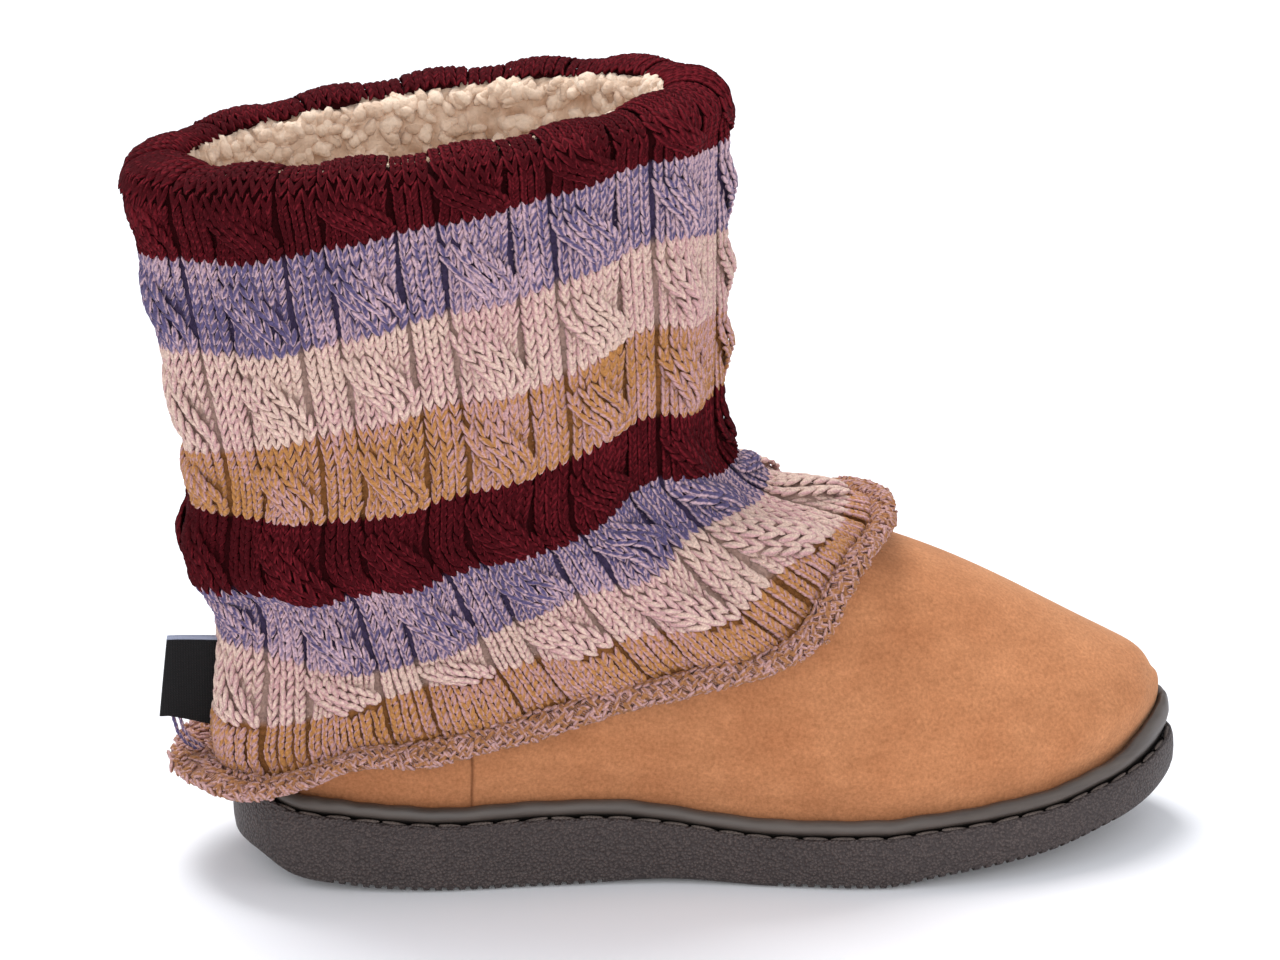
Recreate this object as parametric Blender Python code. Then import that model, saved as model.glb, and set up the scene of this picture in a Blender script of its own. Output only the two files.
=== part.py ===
"""Boot slipper for the right foot.

A moulded sole with a bead welt carries a suede boot body with a fleece lining. A cable-knit sleeve covers
the shaft, turns over the collar in a fat roll and ends low on the foot in a thick edging.
Metres, +Z up. X runs from heel to toe and -Y is the outer side of the foot. Lengths along the foot are
counted from the sole's back edge, heights from the floor, and an empty then centres the whole on the origin.
"""

import math

import bmesh
import bpy
import numpy as np

# Sole
SOLE_LENGTH = 0.272
HEEL_WIDTH = 0.070
BALL_WIDTH = 0.0963
TOE_OFFSET = 0.004  # the toe's tip lies this far to the inner side
HEEL_SIDE_HEIGHT = 0.0200  # from the bottom up to the stitch line
BALL_SIDE_HEIGHT = 0.0150
HEEL_ROCKER = 0.0085  # how far the bottom rises at the back edge
TOE_SPRING = 0.0150
ARCH_LIFT = 0.0012
EDGE_RADIUS = 0.0022
SIDE_BULGE = 0.0006
BULGE_LEVEL = 0.55  # share of the side's height at which it bulges most
LIP_RADIUS = 0.0014
RIB_PITCH = 0.0034
RIB_GROOVE_WIDTH = 0.0015
RIB_GROOVE_DEPTH = 0.0015
PAD_LENGTH = 0.026  # smooth pads in the tread, at the heel and at the ball
PAD_WIDTH = 0.030

# Welt
WELT_HEIGHT = 0.0048
WELT_WIDTH = 0.0046
WELT_SETBACK = 0.0010
WELT_TOE_RAISE = 0.0010
WELT_TOE_START = 0.75  # share of the length from which the bead grows towards the toe

# Suede body, measured outside
SUEDE_WALL = 0.0025
COLLAR_BACK_HEIGHT = 0.200
COLLAR_FRONT_HEIGHT = 0.219
COLLAR_OVERHANG = 0.020  # the collar's back leans out this far behind the sole
COLLAR_SHIFT = 0.004  # the shaft stands this far to the inner side
SHAFT_LENGTH = 0.155
SHAFT_WIDTH = 0.088
INSTEP_HEIGHT = 0.100  # where the vamp turns up into the shaft
VAMP_BULGE = 0.0155  # height of the fullest part of the foot above the sole

# Inside
INSOLE_THICKNESS = 0.0040
LINING_THICKNESS = 0.0057

# Knitted sleeve
CABLES = 13
POINTS_PER_CABLE = 4
KNIT_WALL = 0.0042
CABLE_RELIEF = 0.0022
KNIT_FIT = 0.0006  # the sleeve's ease over the suede
FOLD_DEPTH = 0.0095  # how far the slouch fold stands out at the back of the ankle
HEM_BACK_HEIGHT = 0.034
HEM_FRONT_HEIGHT = 0.0905
LIP_DEPTH = 0.0060  # how far the roll reaches down inside the collar
ROLL_CROWN = 0.0026  # fullness of the roll above its wall
ROLL_RIDGE = 0.7  # share of the cables' relief that the roll keeps

# Edging and tag
EDGING_WIDTH = 0.0090
EDGING_CURL = 0.0080  # extra width where it curls out behind the heel
EDGING_CURL_POWER = 6  # the higher, the narrower the curl
EDGING_THICKNESS = 0.0052
TAG_WIDTH = 0.0120
TAG_HEIGHT = 0.0270
TAG_THICKNESS = 0.0014
TAG_BOTTOM = 0.0400
TAG_ROWS = 4
TAG_FOLD_POINTS = 5
TAG_EASE = 0.3  # how far the tag keeps back, as a share of the way to the sleeve's next points

CLEARANCE = 0.0003
SEAT_GAP = 0.0005  # under what stands on the sole's curved top
ROUND_MIDDLE = 1 - math.sqrt(0.5)  # how far the middle of a quarter round lies in from its corner
TURN_STEP = 1e-3  # small steps, in angle and level and in a share of the sleeve, that directions are taken from
LEVEL_STEP = 1e-2
SHARE_STEP = 0.02

# Outline of the sole. station is a share of the length. ball says how far the local width follows the
# ball's width rather than the heel's. lateral and medial are shares of that local width.
OUTLINE = (
    # station, ball, lateral, medial
    (0.050, 0.00, 0.381, 0.381),
    (0.110, 0.00, 0.464, 0.464),
    (0.200, 0.00, 0.507, 0.493),
    (0.345, 0.15, 0.480, 0.419),
    (0.450, 0.50, 0.451, 0.385),
    (0.566, 1.00, 0.462, 0.405),
    (0.640, 1.00, 0.504, 0.467),
    (0.717, 1.00, 0.507, 0.493),
    (0.790, 1.00, 0.472, 0.483),
    (0.864, 1.00, 0.395, 0.436),
    (0.920, 1.00, 0.296, 0.363),
    (0.960, 1.00, 0.187, 0.280),
    (0.985, 1.00, 0.083, 0.187),
)

# Rise of the bottom off the floor, as shares of the heel's rocker, the arch's lift and the toe spring.
BOTTOM = (
    # station, heel, arch, toe
    (0.000, 1.00, 0.00, 0.000),
    (0.018, 0.93, 0.00, 0.000),
    (0.048, 0.48, 0.00, 0.000),
    (0.107, 0.20, 0.00, 0.000),
    (0.200, 0.00, 0.00, 0.000),
    (0.330, 0.00, 0.00, 0.000),
    (0.440, 0.00, 1.00, 0.000),
    (0.545, 0.00, 0.00, 0.000),
    (0.665, 0.00, 0.00, 0.000),
    (0.720, 0.00, 0.00, 0.160),
    (0.787, 0.00, 0.00, 0.285),
    (0.846, 0.00, 0.00, 0.400),
    (0.904, 0.00, 0.00, 0.600),
    (0.945, 0.00, 0.00, 0.720),
    (0.978, 0.00, 0.00, 0.860),
    (1.000, 0.00, 0.00, 1.000),
)

# Height of the sole's side, as shares of its height at the heel and at the ball.
SIDE = (
    # station, heel, ball
    (0.000, 0.92, 0.00),
    (0.100, 1.01, 0.00),
    (0.200, 0.98, 0.00),
    (0.390, 0.96, 0.00),
    (0.440, 0.40, 0.60),
    (0.490, 0.10, 0.90),
    (0.550, 0.00, 0.98),
    (0.660, 0.00, 1.00),
    (0.750, 0.00, 0.91),
    (0.870, 0.00, 0.85),
    (1.000, 0.00, 0.80),
)

# Ribbed zones of the tread. Each has a smooth pad on the centre line.
TREAD = (
    # start, end, pad, groove spacing in rib pitches
    (0.095, 0.370, 0.270, 2),
    (0.555, 0.925, 0.590, 1),
)

# Profile of the bead: a rounded outer face, a crowned top and a flat base.
WELT_PROFILE = (
    # way in across the width, share of the height
    (1.00, 0.00),
    (0.30, 0.00),
    (0.00, 0.30),
    (0.00, 0.70),
    (0.45, 1.00),
    (1.00, 0.80),
)

# Level lines of the suede body, from the sole up to the collar. Each runs from the back of the heel to a
# point on the front crest.
# lift: height over the sole's top, as a share of VAMP_BULGE, which counts where tie is above 0.
# lean: how far the back leans out, as a share of COLLAR_OVERHANG.
# back, front: heights; 0 to 1 is a share of INSTEP_HEIGHT, 1 to 2 is the way from there to the collar.
# foot, shaft: place of the front end, as shares of SOLE_LENGTH and of the shaft's reach past the heel.
# inset: in from the sole's edge, as a share of the welt's whole depth. width: share of SHAFT_WIDTH.
# oval: 0 has the plan of the sole, 1 has the oval plan of the shaft.
BODY_COLUMNS = ("lift", "tie", "lean", "back", "front", "foot", "shaft", "inset", "width", "oval")
BODY = (
    (0.00, 1.0, -0.20, 0.30, 0.30, 0.978, 0.000, 1.00, 0.86, 0.00),
    (0.33, 1.0, -0.20, 0.33, 0.33, 0.978, 0.000, 1.00, 0.86, 0.00),
    (1.00, 1.0, -0.10, 0.40, 0.39, 0.984, 0.000, 0.58, 0.88, 0.00),
    (1.50, 0.6, -0.12, 0.49, 0.415, 0.974, 0.000, 0.80, 0.89, 0.10),
    (2.10, 0.3, -0.15, 0.58, 0.485, 0.948, 0.000, 1.02, 0.89, 0.30),
    (2.60, 0.0, -0.16, 0.68, 0.585, 0.901, 0.000, 1.50, 0.88, 0.55),
    (3.00, 0.0, -0.13, 0.78, 0.700, 0.827, 0.000, 1.70, 0.88, 0.80),
    (3.50, 0.0, -0.10, 0.88, 0.815, 0.743, 0.000, 1.70, 0.88, 0.90),
    (4.00, 0.0, 0.00, 0.98, 0.915, 0.655, 0.000, 1.70, 0.89, 1.00),
    (4.50, 0.0, 0.14, 1.08, 1.00, 0.250, 0.620, 1.70, 0.91, 1.00),
    (5.00, 0.0, 0.25, 1.200, 1.093, 0.050, 0.920, 1.70, 0.94, 1.00),
    (5.50, 0.0, 0.46, 1.360, 1.250, 0.010, 0.975, 1.70, 0.97, 1.00),
    (6.20, 0.0, 0.75, 1.660, 1.540, 0.000, 1.000, 1.70, 1.00, 1.00),
    (7.00, 0.0, 1.00, 2.000, 2.000, 0.000, 1.000, 1.70, 1.00, 1.00),
)
COLLAR_LEVEL = len(BODY) - 1

# How far the sleeve stands off the suede, as shares of FOLD_DEPTH, from its lower edge up to the collar.
SLACK = (
    # way up, back, side, front
    (0.00, 0.70, 0.60, 0.37),
    (0.12, 0.36, 0.50, 0.37),
    (0.26, 0.18, 0.45, 0.36),
    (0.36, 0.30, 0.45, 0.30),
    (0.44, 0.70, 0.42, 0.15),
    (0.50, 1.00, 0.38, 0.05),
    (0.57, 0.75, 0.32, 0.04),
    (0.65, 0.36, 0.22, 0.04),
    (0.75, 0.14, 0.10, 0.04),
    (0.88, 0.05, 0.05, 0.05),
    (1.00, 0.16, 0.12, 0.10),
)

# Height of the sleeve's lower edge, as a share of the climb from the back to the front.
HEM = (
    # way forward, climb
    (0.00, 0.000),
    (0.17, 0.190),
    (0.30, 0.345),
    (0.50, 0.585),
    (0.65, 0.660),
    (0.80, 0.858),
    (0.90, 0.945),
    (1.00, 1.000),
)

# Angle, in degrees, at which the edging stands away from the suede, by share of the way to the front.
EDGING_FLARE = ((0.0, 68.0), (0.1, 58.0), (0.3, 30.0), (0.6, 20.0), (0.85, 40.0), (1.0, 68.0))

# Rings of the sleeve by share of the way up. The inner face needs fewer of them.
SLEEVE_RINGS = (0.0, 0.12, 0.26, 0.36, 0.44, 0.50, 0.57, 0.65, 0.75, 0.87, 0.95)
INNER_RINGS = (0.0, 0.12, 0.26, 0.36, 0.44, 0.57, 0.75, 0.95)
ROLL_DEGREES = (0, 35, 65, 95, 130, 180)  # points of the roll's cross-section, from outside to inside

AROUND = CABLES * POINTS_PER_CABLE


# Curves and rings


def curve(table, column, x):
    """A smooth curve through one column of a table whose first column is the place."""
    place = np.array([row[0] for row in table])
    value = np.array([row[column] for row in table])
    return hermite(place, value, x)


def hermite(place, value, x):
    steps = np.diff(place)
    slopes = np.diff(value) / steps
    middle = (slopes[:-1] * steps[1:] + slopes[1:] * steps[:-1]) / (steps[1:] + steps[:-1])
    tangent = np.concatenate([slopes[:1], middle, slopes[-1:]])
    x = np.clip(x, place[0], place[-1])
    i = np.clip(np.searchsorted(place, x, side="right") - 1, 0, len(steps) - 1)
    f = (x - place[i]) / steps[i]
    return (
        value[i] * (1 + 2 * f) * (1 - f) ** 2
        + tangent[i] * steps[i] * f * (1 - f) ** 2
        + value[i + 1] * f**2 * (3 - 2 * f)
        + tangent[i + 1] * steps[i] * f**2 * (f - 1)
    )


def angles():
    """Angles of the points of a ring: 0 at the heel, then the outer side, half a turn at the toe."""
    return np.arange(AROUND) * 2 * np.pi / AROUND


def way_forward(theta):
    return (1 - np.cos(theta)) / 2


def outline(theta):
    """Points of the sole's edge in plan."""
    turn, side = [0.0], [0.0]
    for station, ball, lateral, medial in OUTLINE:
        width = HEEL_WIDTH * (1 - ball) + BALL_WIDTH * ball
        angle = math.acos(1 - 2 * station)
        turn += [angle, 2 * np.pi - angle]
        side += [-lateral * width, medial * width]
    turn.append(np.pi)
    side.append(TOE_OFFSET)
    order = np.argsort(turn)
    turn, side = np.array(turn)[order], np.array(side)[order]
    turn = np.concatenate([turn - 2 * np.pi, turn, turn + 2 * np.pi])
    y = hermite(turn, np.tile(side, 3), np.mod(theta, 2 * np.pi))
    return np.stack([SOLE_LENGTH * way_forward(theta), y], axis=-1)


def inset_outline(theta, inset):
    """The sole's edge moved in at right angles to itself."""
    along = outline(theta + TURN_STEP) - outline(theta - TURN_STEP)
    along /= np.linalg.norm(along, axis=-1, keepdims=True)
    outward = np.stack([along[..., 1], -along[..., 0]], axis=-1)
    return outline(theta) - outward * np.asarray(inset)[..., None]


def bottom(x):
    """Height of the sole's bottom."""
    station = x / SOLE_LENGTH
    rise = HEEL_ROCKER * curve(BOTTOM, 1, station) + ARCH_LIFT * curve(BOTTOM, 2, station)
    return np.maximum(rise + TOE_SPRING * curve(BOTTOM, 3, station), 0)


def side_height(x):
    station = x / SOLE_LENGTH
    return HEEL_SIDE_HEIGHT * curve(SIDE, 1, station) + BALL_SIDE_HEIGHT * curve(SIDE, 2, station)


def sole_top(x):
    return bottom(x) + side_height(x)


def welt_top(x):
    toe = np.clip((x / SOLE_LENGTH - WELT_TOE_START) / (1 - WELT_TOE_START), 0, 1)
    return sole_top(x) + WELT_HEIGHT + WELT_TOE_RAISE * toe


def sole_ring(inset, share, offset=0.0):
    """A ring round the sole at a share of its side's height."""
    plan = inset_outline(angles(), inset)
    z = bottom(plan[:, 0]) + share * side_height(plan[:, 0]) + offset
    return np.column_stack([plan, z])


# Suede body


def levels(v):
    """The columns of BODY at the levels v, in a dictionary."""
    place = np.arange(len(BODY), dtype=float)
    return {name: hermite(place, np.array(BODY)[:, i], v) for i, name in enumerate(BODY_COLUMNS)}


def height_of(share, collar):
    return INSTEP_HEIGHT * np.minimum(share, 1) + (collar - INSTEP_HEIGHT) * np.maximum(share - 1, 0)


def body(theta, v):
    """Outer surface of the suede body at an angle and a level."""
    row = levels(v)
    depth = WELT_SETBACK + WELT_WIDTH + CLEARANCE
    inset = row["inset"] * depth
    foot = inset_outline(theta, inset)
    back_x = -row["lean"] * COLLAR_OVERHANG
    back_x = back_x + row["tie"] * (inset - back_x)
    reach = SHAFT_LENGTH - COLLAR_OVERHANG
    front_x = row["foot"] * SOLE_LENGTH + row["shaft"] * reach
    front_x = front_x + row["tie"] * (SOLE_LENGTH - inset - front_x)
    stretch = (front_x - back_x) / (SOLE_LENGTH - 2 * inset)
    forward = way_forward(theta)
    foot_x = back_x + (foot[..., 0] - inset) * stretch
    oval_x = back_x + (front_x - back_x) * forward
    middle = TOE_OFFSET * forward + COLLAR_SHIFT * (1 - forward) * np.clip(row["back"] - 1, 0, 1)
    oval_y = middle - row["width"] * SHAFT_WIDTH / 2 * np.sin(theta)
    x = foot_x + row["oval"] * (oval_x - foot_x)
    y = foot[..., 1] + row["oval"] * (oval_y - foot[..., 1])
    back_z = height_of(row["back"], COLLAR_BACK_HEIGHT)
    front_z = height_of(row["front"], COLLAR_FRONT_HEIGHT)
    plane_z = back_z + (front_z - back_z) * forward
    tied_z = sole_top(x) + SEAT_GAP + row["lift"] * VAMP_BULGE
    z = plane_z + row["tie"] * (tied_z - plane_z)
    return np.stack([x, y, z], axis=-1)


def body_normal(theta, v):
    low, high = np.maximum(v - TURN_STEP, 0), np.minimum(v + TURN_STEP, COLLAR_LEVEL)
    across = body(theta + TURN_STEP, v) - body(theta - TURN_STEP, v)
    up = body(theta, high) - body(theta, low)
    normal = np.cross(across, up)
    return normal / np.linalg.norm(normal, axis=-1, keepdims=True)


def body_offset(theta, v, distance):
    return body(theta, v) + body_normal(theta, v) * np.asarray(distance)[..., None]


def level_at(theta, height):
    """The level at which the body reaches the height that the function height gives."""
    low, high = np.zeros_like(theta), np.full_like(theta, COLLAR_LEVEL)
    for _ in range(40):
        middle = (low + high) / 2
        point = body(theta, middle)
        below = point[..., 2] < height(point[..., 0])
        low, high = np.where(below, middle, low), np.where(below, high, middle)
    return (low + high) / 2


def insole_top(x):
    return sole_top(x) + SEAT_GAP + INSOLE_THICKNESS


# Knitted sleeve


def hem_level(theta):
    """The level that the sleeve's lower edge follows round the body."""
    forward = way_forward(theta)
    target = HEM_BACK_HEIGHT + (HEM_FRONT_HEIGHT - HEM_BACK_HEIGHT) * curve(HEM, 1, forward)
    return level_at(theta, lambda x: target)


def slack(theta, share):
    ends = np.where(np.cos(theta) > 0, curve(SLACK, 1, share), curve(SLACK, 3, share))
    around = curve(SLACK, 2, share) * np.sin(theta) ** 2 + ends * np.cos(theta) ** 2
    return FOLD_DEPTH * around


def sleeve_ring(share, outward):
    """A ring of the sleeve at a share of the way up from its lower edge, out from its inner face."""
    theta = angles()
    low = hem_level(theta)
    v = low + share * (COLLAR_LEVEL - low)
    return body_offset(theta, v, KNIT_FIT + slack(theta, np.full_like(theta, share)) + outward)


def cable_ridge():
    """Height of the cables round the sleeve: each column swells out between two flat ribs."""
    place = np.arange(AROUND) % POINTS_PER_CABLE / POINTS_PER_CABLE
    return CABLE_RELIEF * np.sin(np.pi * place)


def collar_ring(outward, up):
    """A ring at the collar's rim, out from the suede and up from its edge."""
    theta = angles()
    rim = np.full_like(theta, COLLAR_LEVEL)
    normal = body_normal(theta, rim)
    rise = body(theta, rim) - body(theta, rim - LEVEL_STEP)
    rise /= np.linalg.norm(rise, axis=-1, keepdims=True)
    return body(theta, rim) + normal * outward + rise * up


# Meshes and materials


def srgb(*channels):
    """A colour given as 0 to 255 per channel, as linear values."""
    shares = [channel / 255 for channel in channels]
    linear = [s / 12.92 if s < 0.04045 else ((s + 0.055) / 1.055) ** 2.4 for s in shares]
    return (*linear, 1.0)


def material(name, colour, roughness):
    made = bpy.data.materials.new(name)
    made.use_nodes = True
    shader = made.node_tree.nodes["Principled BSDF"]
    shader.inputs["Base Color"].default_value = colour
    shader.inputs["Roughness"].default_value = roughness
    shader.inputs["Metallic"].default_value = 0.0
    made.diffuse_color = colour
    return made


def add_solid(name, points, faces, finish, crease=40.0):
    mesh = bpy.data.meshes.new(name)
    mesh.from_pydata([tuple(point) for point in points], [], faces)
    work = bmesh.new()
    work.from_mesh(mesh)
    bmesh.ops.recalc_face_normals(work, faces=work.faces)
    work.to_mesh(mesh)
    work.free()
    mesh.shade_smooth()
    mesh.set_sharp_from_angle(angle=math.radians(crease))
    mesh.materials.append(finish)
    made = bpy.data.objects.new(name, mesh)
    bpy.context.scene.collection.objects.link(made)
    return made


def bands(count, around, closed):
    """Triangles between rings of points, and from the last ring to the first where the rings close a loop.

    Every band has its diagonals the same way round, so that neighbouring shells stay parallel."""
    faces = []
    for ring in range(count if closed else count - 1):
        here, there = ring * around, (ring + 1) % count * around
        for i in range(around):
            j = (i + 1) % around
            faces.append((here + i, here + j, there + j))
            faces.append((here + i, there + j, there + i))
    return faces


def ladder(start, around):
    """Faces that fill a ring from side to side, heel to toe."""
    half = around // 2
    faces = [(start, start + 1, start + around - 1), (start + half, start + half + 1, start + half - 1)]
    for i in range(1, half - 1):
        faces.append((start + i, start + i + 1, start + around - i - 1, start + around - i))
    return faces


def ring_loop(name, rings, finish):
    """A closed band whose rings run round its own cross-section."""
    return add_solid(name, np.concatenate(rings), bands(len(rings), AROUND, True), finish)


def ring_block(name, rings, finish):
    """A solid stacked from rings and filled at both ends."""
    faces = bands(len(rings), AROUND, False)
    faces += ladder(0, AROUND) + ladder((len(rings) - 1) * AROUND, AROUND)
    return add_solid(name, np.concatenate(rings), faces, finish)


# Pieces


def make_tread_cutter(name):
    """Boxes for the grooves across the tread. They stop short of the smooth pads."""
    points, faces = [], []
    for start, end, pad, pitch in TREAD:
        count = int((end - start) * SOLE_LENGTH / (pitch * RIB_PITCH))
        for i in range(count + 1):
            x = start * SOLE_LENGTH + i * pitch * RIB_PITCH
            spans = [(-BALL_WIDTH, BALL_WIDTH)]
            if abs(x - pad * SOLE_LENGTH) < (PAD_LENGTH + RIB_GROOVE_WIDTH) / 2:
                spans = [(-BALL_WIDTH, -PAD_WIDTH / 2), (PAD_WIDTH / 2, BALL_WIDTH)]
            slope = (bottom(x + RIB_PITCH) - bottom(x - RIB_PITCH)) / (2 * RIB_PITCH)
            for near, far in spans:
                first = len(points)
                for y in (near, far):
                    for side in (-0.5, 0.5):
                        dx = side * RIB_GROOVE_WIDTH
                        floor = bottom(x) + slope * dx
                        points.append((x + dx, y, floor - RIB_GROOVE_DEPTH))
                        points.append((x + dx - slope * RIB_GROOVE_DEPTH, y, floor + RIB_GROOVE_DEPTH))
                corners = ((0, 2, 3, 1), (4, 5, 7, 6), (0, 1, 5, 4), (2, 6, 7, 3), (0, 4, 6, 2), (1, 3, 7, 5))
                faces += [tuple(first + c for c in face) for face in corners]
    cutter = add_solid(name, points, faces, material("guide", srgb(128, 128, 128), 0.5))
    cutter.hide_render = True
    cutter.display_type = "WIRE"
    return cutter


def make_outsole():
    top = (
        sole_ring(0.0, 1.0, -LIP_RADIUS),
        sole_ring(LIP_RADIUS * ROUND_MIDDLE, 1.0, -LIP_RADIUS * ROUND_MIDDLE),
        sole_ring(LIP_RADIUS, 1.0),
    )
    rings = (
        sole_ring(EDGE_RADIUS, 0.0),
        sole_ring(EDGE_RADIUS * ROUND_MIDDLE, 0.0, EDGE_RADIUS * ROUND_MIDDLE),
        sole_ring(0.0, 0.0, EDGE_RADIUS),
        sole_ring(-SIDE_BULGE, BULGE_LEVEL),
        *top,
    )
    outsole = ring_block("outsole", rings, material("pebbled_rubber", srgb(76, 68, 64), 0.75))
    cutter = make_tread_cutter("tread_guide")
    cut = outsole.modifiers.new("tread", "BOOLEAN")
    cut.operation = "DIFFERENCE"
    cut.solver = "EXACT"
    cut.object = cutter
    return outsole, cutter


def make_welt():
    rings = []
    for way_in, share in WELT_PROFILE:
        plan = inset_outline(angles(), WELT_SETBACK + way_in * WELT_WIDTH)
        base = sole_top(plan[:, 0]) + SEAT_GAP
        z = base + share * (welt_top(plan[:, 0]) - base)
        rings.append(np.column_stack([plan, z]))
    return ring_loop("welt", rings, material("smooth_rubber", srgb(90, 84, 79), 0.5))


def make_insole():
    edge = WELT_SETBACK + WELT_WIDTH + CLEARANCE + SUEDE_WALL + 2 * CLEARANCE
    rings = []
    plan = inset_outline(angles(), edge)
    for z in (sole_top(plan[:, 0]) + SEAT_GAP, insole_top(plan[:, 0])):
        rings.append(np.column_stack([plan, z]))
    return ring_block("insole", rings, material("fleece_footbed", srgb(214, 200, 180), 0.95))


def make_upper():
    theta = angles()
    rows = range(COLLAR_LEVEL + 1)
    outer = [body(theta, np.full_like(theta, v)) for v in rows]
    inner = [body_offset(theta, np.full_like(theta, v), np.full_like(theta, -SUEDE_WALL)) for v in rows]
    inner[0][:, 2] = outer[0][:, 2]
    return ring_loop("upper", inner + outer[::-1], material("suede", srgb(197, 138, 92), 0.9))


def make_lining():
    """Fleece that backs the suede from just above the insole up to the collar."""
    theta = angles()
    low = level_at(theta, lambda x: insole_top(x) + 3 * CLEARANCE)
    rows = [np.maximum(low, row) for row in range(1, COLLAR_LEVEL + 1)]
    gap = SUEDE_WALL + CLEARANCE
    outer = [body_offset(theta, v, np.full_like(theta, -gap)) for v in rows]
    inner = [body_offset(theta, v, np.full_like(theta, -gap - LINING_THICKNESS)) for v in rows]
    inner[0][:, 2] = outer[0][:, 2]
    return ring_loop("lining", outer + inner[::-1], material("cream_fleece", srgb(217, 203, 182), 0.95))


def make_knit_shaft():
    """The sleeve, its roll over the collar and the lip inside the lining."""
    ridge = cable_ridge()
    outer = [sleeve_ring(share, KNIT_WALL + ridge) for share in SLEEVE_RINGS]
    inner = [sleeve_ring(share, np.zeros(AROUND)) for share in INNER_RINGS]
    stack = SUEDE_WALL + CLEARANCE + LINING_THICKNESS + CLEARANCE
    half = (KNIT_FIT + stack) / 2 + KNIT_WALL
    middle = KNIT_FIT + KNIT_WALL - half
    crown = CLEARANCE + KNIT_WALL + ROLL_CROWN
    swell = slack(angles(), np.ones(AROUND)) + ROLL_RIDGE * ridge
    roll = []
    for degrees in ROLL_DEGREES:
        turn = math.radians(degrees)
        outward = middle + half * math.cos(turn) + swell * max(math.cos(turn), 0)
        roll.append(collar_ring(outward[:, None], crown * math.sin(turn)))
    lip = LIP_DEPTH - crown
    roll.append(collar_ring(middle - half, -lip))
    roll.append(collar_ring(-stack, -lip))
    roll.append(collar_ring(-stack, CLEARANCE))
    roll.append(collar_ring(KNIT_FIT, CLEARANCE))
    finish = material("striped_knit", srgb(140, 100, 100), 0.95)
    return ring_loop("knit_shaft", outer + roll + inner[::-1], finish)


def make_hem_edging():
    """An oval cord that continues the sleeve beyond its lower edge and stands away from the suede."""
    theta = angles()
    edge = sleeve_ring(0.0, KNIT_WALL / 2)
    down = edge - sleeve_ring(SHARE_STEP, KNIT_WALL / 2)
    down /= np.linalg.norm(down, axis=-1, keepdims=True)
    out = body_normal(theta, hem_level(theta))
    out -= down * np.sum(out * down, axis=-1, keepdims=True)
    out /= np.linalg.norm(out, axis=-1, keepdims=True)
    flare = np.radians(curve(EDGING_FLARE, 1, way_forward(theta)))[:, None]
    along = down * np.cos(flare) + out * np.sin(flare)
    across = out * np.cos(flare) - down * np.sin(flare)
    width = (EDGING_WIDTH + EDGING_CURL * np.maximum(np.cos(theta), 0) ** EDGING_CURL_POWER)[:, None]
    corners = []
    for corner in range(6):
        turn = corner * np.pi / 3
        corners.append((math.cos(turn) * width / 2, math.sin(turn) * EDGING_THICKNESS / math.sqrt(3)))
    upward = np.max([y * np.sin(flare) - x * np.cos(flare) for x, y in corners], axis=0)
    inward = np.max([-y * np.cos(flare) - x * np.sin(flare) for x, y in corners], axis=0)
    middle = edge + down * (upward + 3 * CLEARANCE) + out * (inward - EDGING_THICKNESS / 2)
    rings = [middle + along * x + across * y for x, y in corners]
    return ring_loop("hem_edging", rings, material("edging_yarn", srgb(150, 105, 85), 0.95))


def make_heel_tag():
    """A strip folded on itself, standing straight back from the sleeve, with a round fold."""
    shares = np.arange(0.0, SLEEVE_RINGS[5], SHARE_STEP)
    seam = np.array([sleeve_ring(share, KNIT_WALL + cable_ridge()) for share in shares])[:, (-1, 0, 1)]
    half = TAG_THICKNESS / 2
    points = []
    for z in np.linspace(TAG_BOTTOM, TAG_BOTTOM + TAG_HEIGHT, TAG_ROWS):
        beside = [np.interp(z, seam[:, i, 2], seam[:, i, 0]) for i in range(3)]
        inner_x = beside[1] + (min(beside) - beside[1]) * TAG_EASE - 2 * CLEARANCE
        middle_y = np.interp(z, seam[:, 1, 2], seam[:, 1, 1])
        points += [(inner_x, middle_y + half, z), (inner_x, middle_y - half, z)]
        for turn in np.linspace(0, np.pi, TAG_FOLD_POINTS):
            fold_x = inner_x - TAG_WIDTH + half - half * math.sin(turn)
            points.append((fold_x, middle_y - half * math.cos(turn), z))
    count = len(points) // TAG_ROWS
    faces = bands(TAG_ROWS, count, False)
    faces += [tuple(range(count)), tuple(range(len(points) - count, len(points)))]
    return add_solid("heel_tag", points, faces, material("black_tape", srgb(24, 22, 24), 0.7))


def centre(solids):
    """Parents every solid to one empty that puts the origin under the middle of the whole."""
    corners = np.array([corner.co for solid in solids for corner in solid.data.vertices])
    low, high = corners.min(axis=0), corners.max(axis=0)
    holder = bpy.data.objects.new("boot_slipper", None)
    bpy.context.scene.collection.objects.link(holder)
    holder.location = (-(low[0] + high[0]) / 2, -(low[1] + high[1]) / 2, -low[2])
    return holder


def main():
    for old in list(bpy.data.objects):
        bpy.data.objects.remove(old, do_unlink=True)
    outsole, cutter = make_outsole()
    solids = [outsole, make_welt(), make_insole(), make_upper(), make_lining()]
    solids += [make_knit_shaft(), make_hem_edging(), make_heel_tag()]
    holder = centre(solids)
    for made in solids + [cutter]:
        made.parent = holder


main()
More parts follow.
